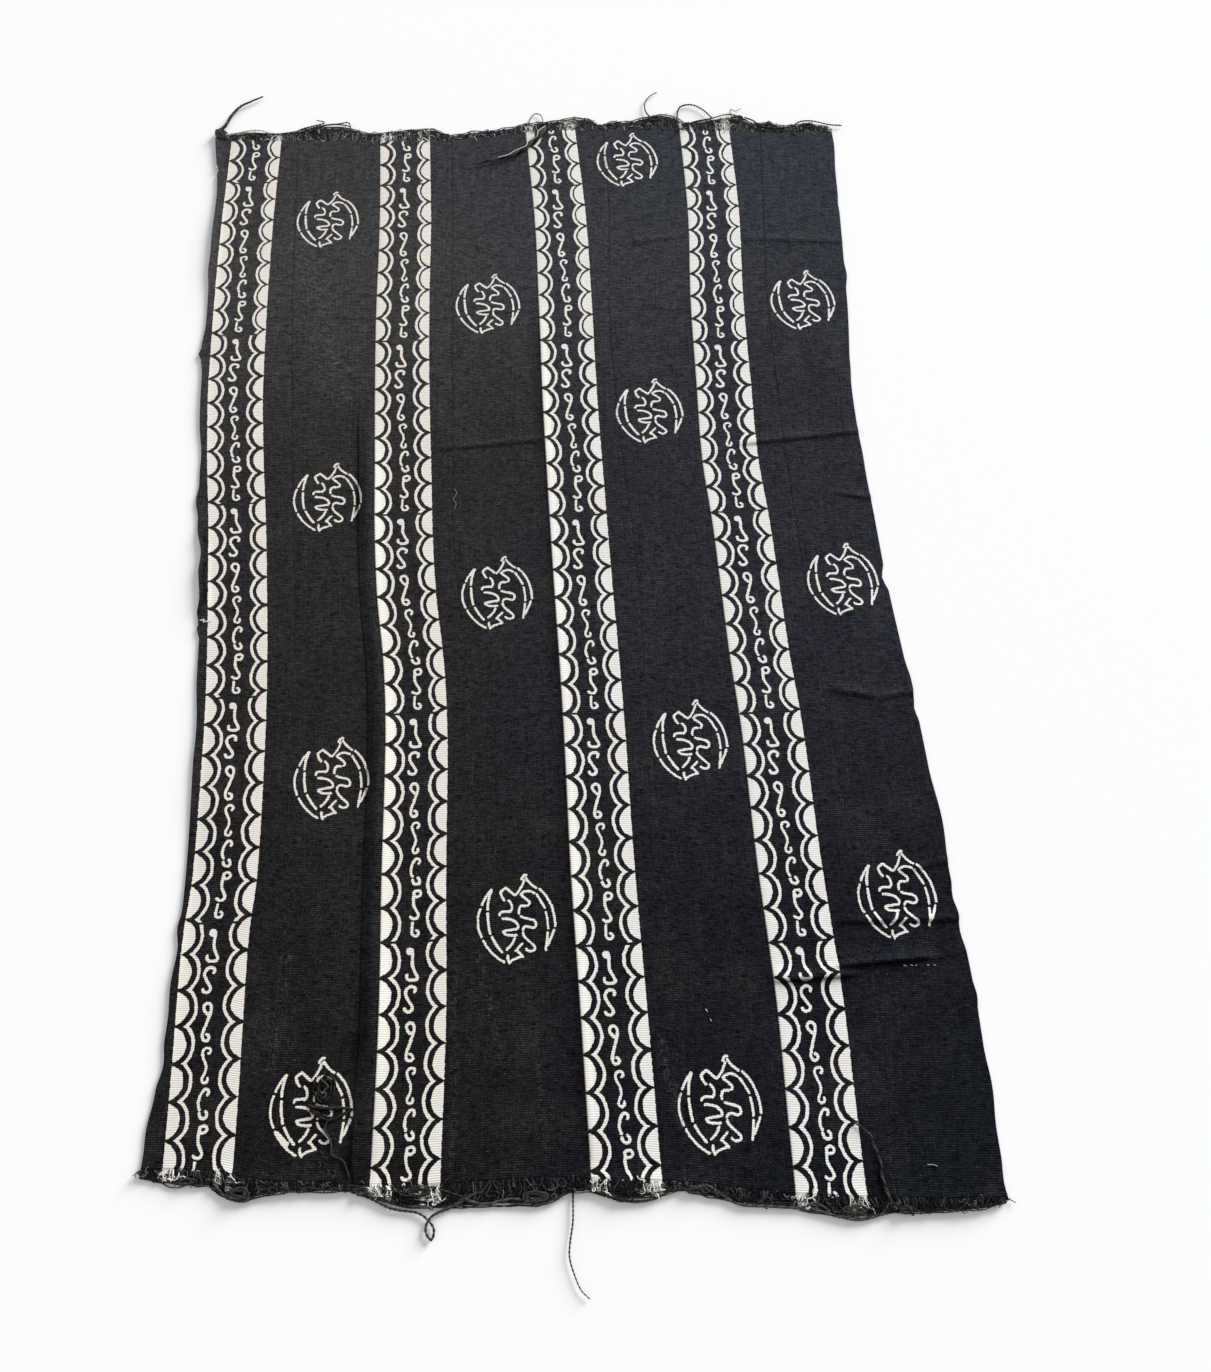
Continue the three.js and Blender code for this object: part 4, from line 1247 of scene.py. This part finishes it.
# clumps of tangled yarn: middle, half size across and along, turns, yarn width
clumps = {
    "far": [
        (-528, 842, 10, 10, 15, 2.8), (207, 843, 15, 6, 9, 2.2), (399, 824, 6, 4, 4, 1.8),
        (345, 836, 12, 7, 8, 2.2),
        (14, 834, 9, 6, 7, 2.4), (462, 815, 16, 5, 6, 2.2), (262, 826, 9, 5, 5, 2.0),
    ],
    "near": [
        (-385, -818, 15, 7, 9, 2.4), (-240, -822, 8, 5, 5, 2.2), (-175, -826, 22, 5, 5, 1.8),
        (-35, -836, 18, 6, 8, 2.2),
        (158, -838, 14, 5, 6, 2.4), (340, -868, 18, 6, 8, 2.2), (402, -870, 10, 5, 6, 2.0),
        (-450, -802, 16, 4, 6, 2.0),
    ],
}
fringe = {
    "ends": 560,
    "endGirth": (0.50, 0.88),
    "curls": 420,
    "curlGirth": (0.38, 0.66),
    "packed": 8,
    "rimRuns": 3,
    "paler": 1.5,  # towards the left of the far end
    "innerRuns": 9,
    "step": 2.0,
    "overRim": {"far": 3.4, "near": 1.4},
    "endTones": {"far": (0.0, 0.03, 0.08, 0.14), "near": (0.0, 0.0, 0.01, 0.03, 0.07)},
    "curlTones": {"far": (0.0, 0.02, 0.10, 0.22, 0.42), "near": (0.0, 0.0, 0.0, 0.03, 0.12)},
    "runWander": {"far": 1.3, "near": 0.8},
    "runTone": {"far": 0.05, "near": 0.01},
    "packedTone": {"far": 0.055, "near": 0.0},
}


def laid(route, width, lift=0.15):
    z = overCloth(route[:, 0], route[:, 1])
    z = np.convolve(np.pad(z, 3, mode="edge"), np.ones(7) / 7, mode="valid")
    return np.column_stack([route[:, 0], route[:, 1], z + width * 0.52 + lift])


def stripAt(x, y):
    edges = np.array([lineX(name, y) for name in lines])
    return int(np.clip((edges < x).sum() - 1, 0, 7))


def whiteShare(x, end):
    y = float(endY(end, x)) + (-4 if end == "far" else 4)
    return bool(isWhite(stripAt(x, y), np.array(x), np.array(y)))


def rimY(end, x):
    points = np.array(rims[end], float)
    return np.interp(x, points[:, 0], points[:, 1])


def keepIn(end, px, py, over):
    out = 1 if end == "far" else -1
    limit = rimY(end, px)
    return np.where((py - limit) * out > over, limit + out * over, py)


def walk(x, y, heading, turns, step):  # a path from a start, turning a little at each step
    angles = heading + np.cumsum(turns)
    xs = x + np.concatenate([[0], np.cumsum(np.cos(angles)) * step])
    ys = y + np.concatenate([[0], np.cumsum(np.sin(angles)) * step])
    return xs, ys


def yarnTone(x, end, tones, pale=0.93):
    if whiteShare(x, end) and rng.random() < pale:
        return rng.uniform(0.75, 1.0)
    paler = fringe["paler"] if end == "far" and x < 20 else 1.0
    return rng.choice(fringe[tones][end]) * paler


def addPackedWefts(pile, end, low, high):  # the last wefts, packed flat under the loose warp ends
    xs = np.arange(low, high, 4.5)
    edge, rim = endY(end, xs), rimY(end, xs)
    white = np.array([whiteShare(x, end) for x in xs])
    for k in range(fringe["packed"]):
        share = (k + 0.3) / fringe["packed"] * 0.92
        ys = edge + (rim - edge) * share + rng.normal(0, 0.35, len(xs))
        girth = np.clip(np.abs(rim - edge) / fringe["packed"] * 0.52, 0.5, 1.5)
        dark = fringe["packedTone"][end]
        tone = np.where(white & (rng.random(len(xs)) < 0.75), rng.uniform(0.5, 0.9), dark)
        pile.add(np.column_stack([xs, ys, np.full(len(xs), 0.9) + rng.normal(0, 0.1, len(xs))]), girth, tone)


def addWarpEnds(pile, end, low, high):  # short warp ends, curled at their tips
    out = 1 if end == "far" else -1
    for i in range(fringe["ends"]):
        x = low + (high - low) * (i + rng.uniform(-0.5, 0.5)) / fringe["ends"]
        root = float(endY(end, x)) - out * rng.uniform(0.5, 3.0)
        reach = max(5.0, abs(float(rimY(end, x)) - root))
        length = reach * rng.uniform(0.75, 1.15)
        turns = rng.normal(0, 0.22, 7)
        turns[4:] += rng.choice([-1, 1]) * rng.uniform(0.1, 1.1)
        lean = 0.3 * math.sin(x / 31 + out) + rng.normal(0, 0.22)
        px, py = walk(x, root, out * (math.pi / 2 + lean), turns, length / 7)
        py = keepIn(end, px, py, fringe["overRim"][end] * rng.random())
        t = np.linspace(0, 1, 8)
        pz = 1.5 + rng.uniform(0.2, 1.6) * np.sin(t * math.pi) - 0.5 * t
        girth = rng.uniform(*fringe["endGirth"]) * (1 - 0.25 * t)
        pile.add(np.column_stack([px, py, pz]), girth, yarnTone(x, end, "endTones"))


def addCurls(pile, end, low, high):  # crinkled bits pulled out of the weave
    for i in range(fringe["curls"]):
        x = rng.uniform(low, high)
        edge, rim = float(endY(end, x)), float(rimY(end, x))
        y = edge + (rim - edge) * rng.uniform(-0.12, 0.95)
        turns = rng.normal(0, 0.35, 8) + rng.choice([-1, 1]) * rng.uniform(0.2, 0.7)
        px, py = walk(x, y, rng.uniform(0, 2 * math.pi), turns, rng.uniform(5, 12) / 8)
        py = keepIn(end, px, py, 0.8 + fringe["overRim"][end] * rng.random())
        pz = 2.2 + rng.uniform(0.2, 1.8) * np.sin(np.linspace(0.1, 1, 9) * math.pi)
        girth = rng.uniform(*fringe["curlGirth"])
        pile.add(np.column_stack([px, py, pz]), girth, yarnTone(x, end, "curlTones", 0.8))


def addRuns(pile, end, low, high):  # long loose wefts along the rim and across the warp ends
    out = 1 if end == "far" else -1
    wander = fringe["runWander"][end]
    for k in range(fringe["rimRuns"]):
        x = low - rng.uniform(0, 60)
        while x < high - 30:
            long = rng.uniform(90, 330)
            xs = np.arange(max(x, low), min(x + long, high), 12.0)
            x += long - rng.uniform(-10, 30)
            if len(xs) < 4:
                continue
            ys = rimY(end, xs) - out * (k * 1.25 + rng.normal(0, wander, len(xs)))
            ys[0] -= out * rng.uniform(1, 5)
            ys[-1] -= out * rng.uniform(1, 5)
            route = smoothRoute(np.column_stack([xs, ys]), fringe["step"])
            path = np.column_stack([route, 1.6 + 0.35 * k + 0.4 * np.sin(route[:, 0] / 9 + k)])
            pile.addTwisted(path, rng.uniform(1.4, 2.2), fringe["runTone"][end])
    for i in range(fringe["innerRuns"]):
        start = rng.uniform(low, high - 90)
        xs = np.arange(start, start + rng.uniform(40, 90), 9.0)
        share = rng.uniform(0.15, 0.8) + rng.normal(0, 0.1, len(xs))
        ys = endY(end, xs) + (rimY(end, xs) - endY(end, xs)) * share
        route = smoothRoute(np.column_stack([xs, ys]), fringe["step"])
        path = np.column_stack([route, 2.8 + 0.6 * np.sin(route[:, 0] / 7)])
        pile.addTwisted(path, rng.uniform(1.2, 1.8), fringe["runTone"][end] * rng.uniform(0.5, 2.2))


def addClump(pile, x, y, halfX, halfY, turns, width):
    count = int(turns * 6)
    angle = np.cumsum(rng.uniform(0.6, 1.5, count))
    away = rng.uniform(0.35, 1.0, count)
    points = np.column_stack([
        x + halfX * away * np.cos(angle), y + halfY * away * np.sin(angle), rng.uniform(1.4, 4.6, count),
    ])
    pile.addTwisted(smoothRoute(points, 1.8), width, 0.03, 2, 3.4, 1.0)


def fringeEnd(end):
    pile = YarnPile()
    y0 = float(endY(end, 0.0))
    low, high = float(lineX("left", y0)) + 2, float(lineX("right", y0)) - 2
    addPackedWefts(pile, end, low, high)
    addWarpEnds(pile, end, low, high)
    addCurls(pile, end, low, high)
    addRuns(pile, end, low, high)
    for clump in clumps[end]:
        addClump(pile, *clump)
    points = np.array(pile.points)
    points[:, 2] += edgeLift(points[:, 0], endY(end, points[:, 0]))
    pile.points = points.tolist()
    for width, tip, plies, tone, above, route in looseYarns[end]:
        path = laid(smoothRoute(route, fringe["step"]), width * 0.8, above)
        pile.addTwisted(path, width, tone, plies, 3.4, tip)
    name = "frayedEnd" + end.capitalize()
    piece = yarnPiece(name, pile, 4, fringeMaterial)
    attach(piece, "root")
    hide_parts("frayed_end_" + end)
    return piece


fringePieces = [fringeEnd("far"), fringeEnd("near")]

# the tangle on the second strip
tangle = {
    "centre": (-287, -704),
    "stretch": (9.0, 12.5),
    "width": 4.2,
}
# its bundle: the two arms of yarn, each a route with the yarns beside each other
bundleArms = [
    {"route": [(-308, -723), (-296, -725.5), (-282, -727), (-268, -727), (-254, -729)], "yarns": 3,
     "apart": 1.3},
    {"route": [(-306, -727), (-294, -735), (-282, -739.5), (-270, -736), (-253, -729.5)], "yarns": 4,
     "apart": 1.5},
]


def onCloth(route, above):
    return np.column_stack([route, overCloth(route[:, 0], route[:, 1]) + above])


def layYarn(pile, points, above, *girth):
    pile.addTwisted(onCloth(smoothRoute(points, 1.2), above), *girth)


def buildTangle():
    pile = YarnPile()
    cx, cy = tangle["centre"]
    turns = np.linspace(0.5, 5.6 + 4 * np.pi, 90)
    swell = 1 - 0.25 * np.sin(turns * 0.63)
    x = cx + tangle["stretch"][0] * np.cos(turns) * swell
    y = cy + tangle["stretch"][1] * np.sin(turns * 1.02) * swell
    z = overCloth(x, y) + 1.2 + 0.8 * np.arange(90) / 30
    pile.addTwisted(np.column_stack([x, y, z]), tangle["width"], 0.0)
    for k in range(4):
        points = [(cx - 5 + 3 * k, cy + 9), (cx + 4 - 3 * k, cy + 1 + 2 * k), (cx - 3 + 2 * k, cy - 9)]
        layYarn(pile, points, 1.3, 3.6, 0.0)
    points = [(-294, -692), (-288, -697), (-284, -702), (-289, -706), (-286, -711), (-290, -715)]
    layYarn(pile, points, 4.0, 2.2, 0.10)
    layYarn(pile, [(-300, -690), (-302, -704), (-299, -716), (-301, -726)], 1.6, 3.0, 0.0)
    for arm in bundleArms:
        for k in range(arm["yarns"]):
            aside = (k - (arm["yarns"] - 1) / 2) * arm["apart"]
            points = np.array(arm["route"], float)
            points[:, 0] += 0.6 * k
            points[:, 1] += aside * np.sin(np.pi * (np.arange(len(points)) + 0.6) / 5)
            layYarn(pile, points, 1.6 + 0.9 * (k % 2), 3.0, 0.02 * (k % 3), 2, 3.4, 0.45)
    for k, tone in enumerate((0.0, 0.03, 0.05)):  # its tail, down to the frayed end
        points = [
            (-285 + k, -741), (-285 - k, -751), (-279, -763 - k), (-273 - 2 * k, -780), (-263, -789 + k),
            (-255, -806),
        ]
        layYarn(pile, points, 1.2 + 0.5 * k, 1.8, tone, 2, 3.4, 0.7)
    for k in range(26):
        turns = rng.normal(0, 0.4, 8) + rng.choice([-1, 1]) * 0.4
        px, py = walk(rng.uniform(-294, -268), rng.uniform(-806, -758), rng.uniform(0, 6), turns, 1.1)
        pile.add(onCloth(np.column_stack([px, py]), 0.5), 0.3, rng.choice([0.02, 0.05, 0.12]))
    piece = yarnPiece("yarnTangle", pile, 6, tangleMaterial)
    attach(piece, "root")
    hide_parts("yarn_tangle")
    return piece


tanglePiece = buildTangle()

# hand stitches along the seams
stitching = {
    "spacing": 0.0044,
    "reach": 1.3,
    "girth": 0.30,
    "seed": 11,
}


def stitchMesh():  # one slanted stitch over the seam, eleven faces
    sides, count = 3, 4
    points, faces = [], []
    for i in range(count):
        t = i / (count - 1) * 2 - 1
        centre = np.array([1.1 * t, stitching["reach"] * t, 0.55 * (1 - t * t) - 0.25])
        for k in range(sides):
            angle = 2 * np.pi * k / sides
            swell = stitching["girth"] * (1 - 0.35 * t * t)
            points.append((centre + np.array([0.6 * math.cos(angle), 0.1, math.sin(angle)]) * swell) / 1000)
    for i in range(count - 1):
        for k in range(sides):
            a, b = i * sides + k, i * sides + (k + 1) % sides
            faces.append((a, a + sides, b + sides, b))
    faces.append(tuple(range(sides)))
    faces.append(tuple(range(count * sides - 1, (count - 1) * sides - 1, -1)))
    mesh = bpy.data.meshes.new("stitch")
    mesh.from_pydata([tuple(point) for point in points], [], faces)
    mesh.update()
    return mesh


def seamTree():  # geometry nodes: stitches evenly along each seam, slightly uneven in size and slant
    inputs = {
        "Geometry": "Geometry", "Stitch": "Object", "Spacing": None, "Uneven": None, "Seed": "Int",
        "Material": "Material",
    }
    tree, n, start, out = newTree("stitchesAlongSeams", "Geometry", inputs, {"Geometry": "Geometry"})
    toCurve = n.new("GeometryNodeMeshToCurve", {"Mesh": start["Geometry"]})
    even = n.new("GeometryNodeResampleCurve", {0: toCurve.outputs[0], 3: start["Spacing"]}, mode="LENGTH")
    tangent = n.new("GeometryNodeInputTangent")
    align = n.new("FunctionNodeAlignRotationToVector", {"Vector": tangent.outputs[0]}, axis="X")
    slant = n.new("FunctionNodeRandomValue", data_type="FLOAT")
    floats = [socket for socket in slant.inputs if socket.enabled and socket.type == "VALUE"]
    n.put(floats[0], n.times(start["Uneven"], -1.0))
    n.put(floats[1], start["Uneven"])
    n.put(slant.inputs["Seed"], start["Seed"])
    randomOut = [socket for socket in slant.outputs if socket.enabled][0]
    spin = n.new("FunctionNodeAxisAngleToRotation", {"Axis": (0, 0, 1), "Angle": randomOut})
    both = {"Rotation": align.outputs[0], "Rotate By": spin.outputs[0]}
    turned = n.new("FunctionNodeRotateRotation", both, rotation_space="LOCAL")
    stitch = n.new("GeometryNodeObjectInfo", {"Object": start["Stitch"]})
    placed = n.new("GeometryNodeInstanceOnPoints", {
        "Points": even.outputs[0], "Instance": stitch.outputs["Geometry"], "Rotation": turned.outputs[0],
        "Scale": n.plus(1.0, randomOut),
    })
    finishTree(n, placed.outputs[0], start, out)
    return tree


def buildStitches():
    points, edges = [], []
    for name in lines[1:-1]:
        start = len(points)
        x0 = float(lineX(name, 0.0))
        y = np.linspace(float(endY("near", x0)) + 4, float(endY("far", x0)) - 4, 500)
        x = lineX(name, y)
        z = rise(x, y) + ripple(x, y) + cloth["thick"] - cloth["selvageDrop"] + 0.35
        points.extend(toFrame(np.column_stack([x, y, z])).tolist())
        edges.extend((start + i, start + i + 1) for i in range(len(y) - 1))
    source = bpy.data.meshes.new("seamPaths")
    source.from_pydata(points, edges, [])
    single = addObject("stitchShape", stitchMesh())
    piece = applyTree("seamStitches", source, seamTree(), {
        "Stitch": single, "Spacing": stitching["spacing"], "Uneven": 0.22, "Seed": stitching["seed"],
        "Material": threadMaterial,
    })
    bpy.data.objects.remove(single)
    print("seamStitches", len(piece.data.polygons), "faces")
    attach(piece, "root")
    return piece


threadMaterial = yarnMaterial("sewingThread", (0.050, 0.049, 0.051, 1), (0.30, 0.28, 0.26, 1))
stitchPiece = buildStitches()

# small threads and specks that lie on the cloth: points, width, tone
bits = [
    ([(-496, -66), (-489, -65), (-483, -67), (-476, -66)], 2.0, 0.85),
    ([(-487, -63), (-485, -66), (-487, -69)], 2.2, 0.7),
    ([(-531, 771), (-528, 767), (-532, 763)], 1.8, 0.6),
    ([(-133, 134), (-129, 126), (-134, 117), (-130, 108), (-133, 99)], 0.9, 0.35),
    ([(437, -587), (441, -588)], 1.1, 0.8),
    ([(446, -587), (449, -588)], 1.2, 0.9),
    ([(452, -588), (454, -587)], 1.1, 0.7),
    ([(467, -588), (470, -588)], 1.0, 0.7),
    ([(475, -588), (478, -589)], 1.0, 0.6),
    ([(183, -630), (185, -633)], 1.4, 0.8),
    ([(188, -642), (189, -645)], 1.2, 0.7),
    ([(434, -822), (440, -822), (446, -824)], 1.2, 0.45),
]


def buildBits():
    pile = YarnPile()
    for points, width, tone in bits:
        route = smoothRoute(points, 1.2)
        path = np.column_stack([route, overCloth(route[:, 0], route[:, 1]) + width * 0.4])
        pile.addTwisted(path, width, tone)
    piece = yarnPiece("looseThreads", pile, 5, fringeMaterial)
    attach(piece, "root")
    return piece


bitsPiece = buildBits()
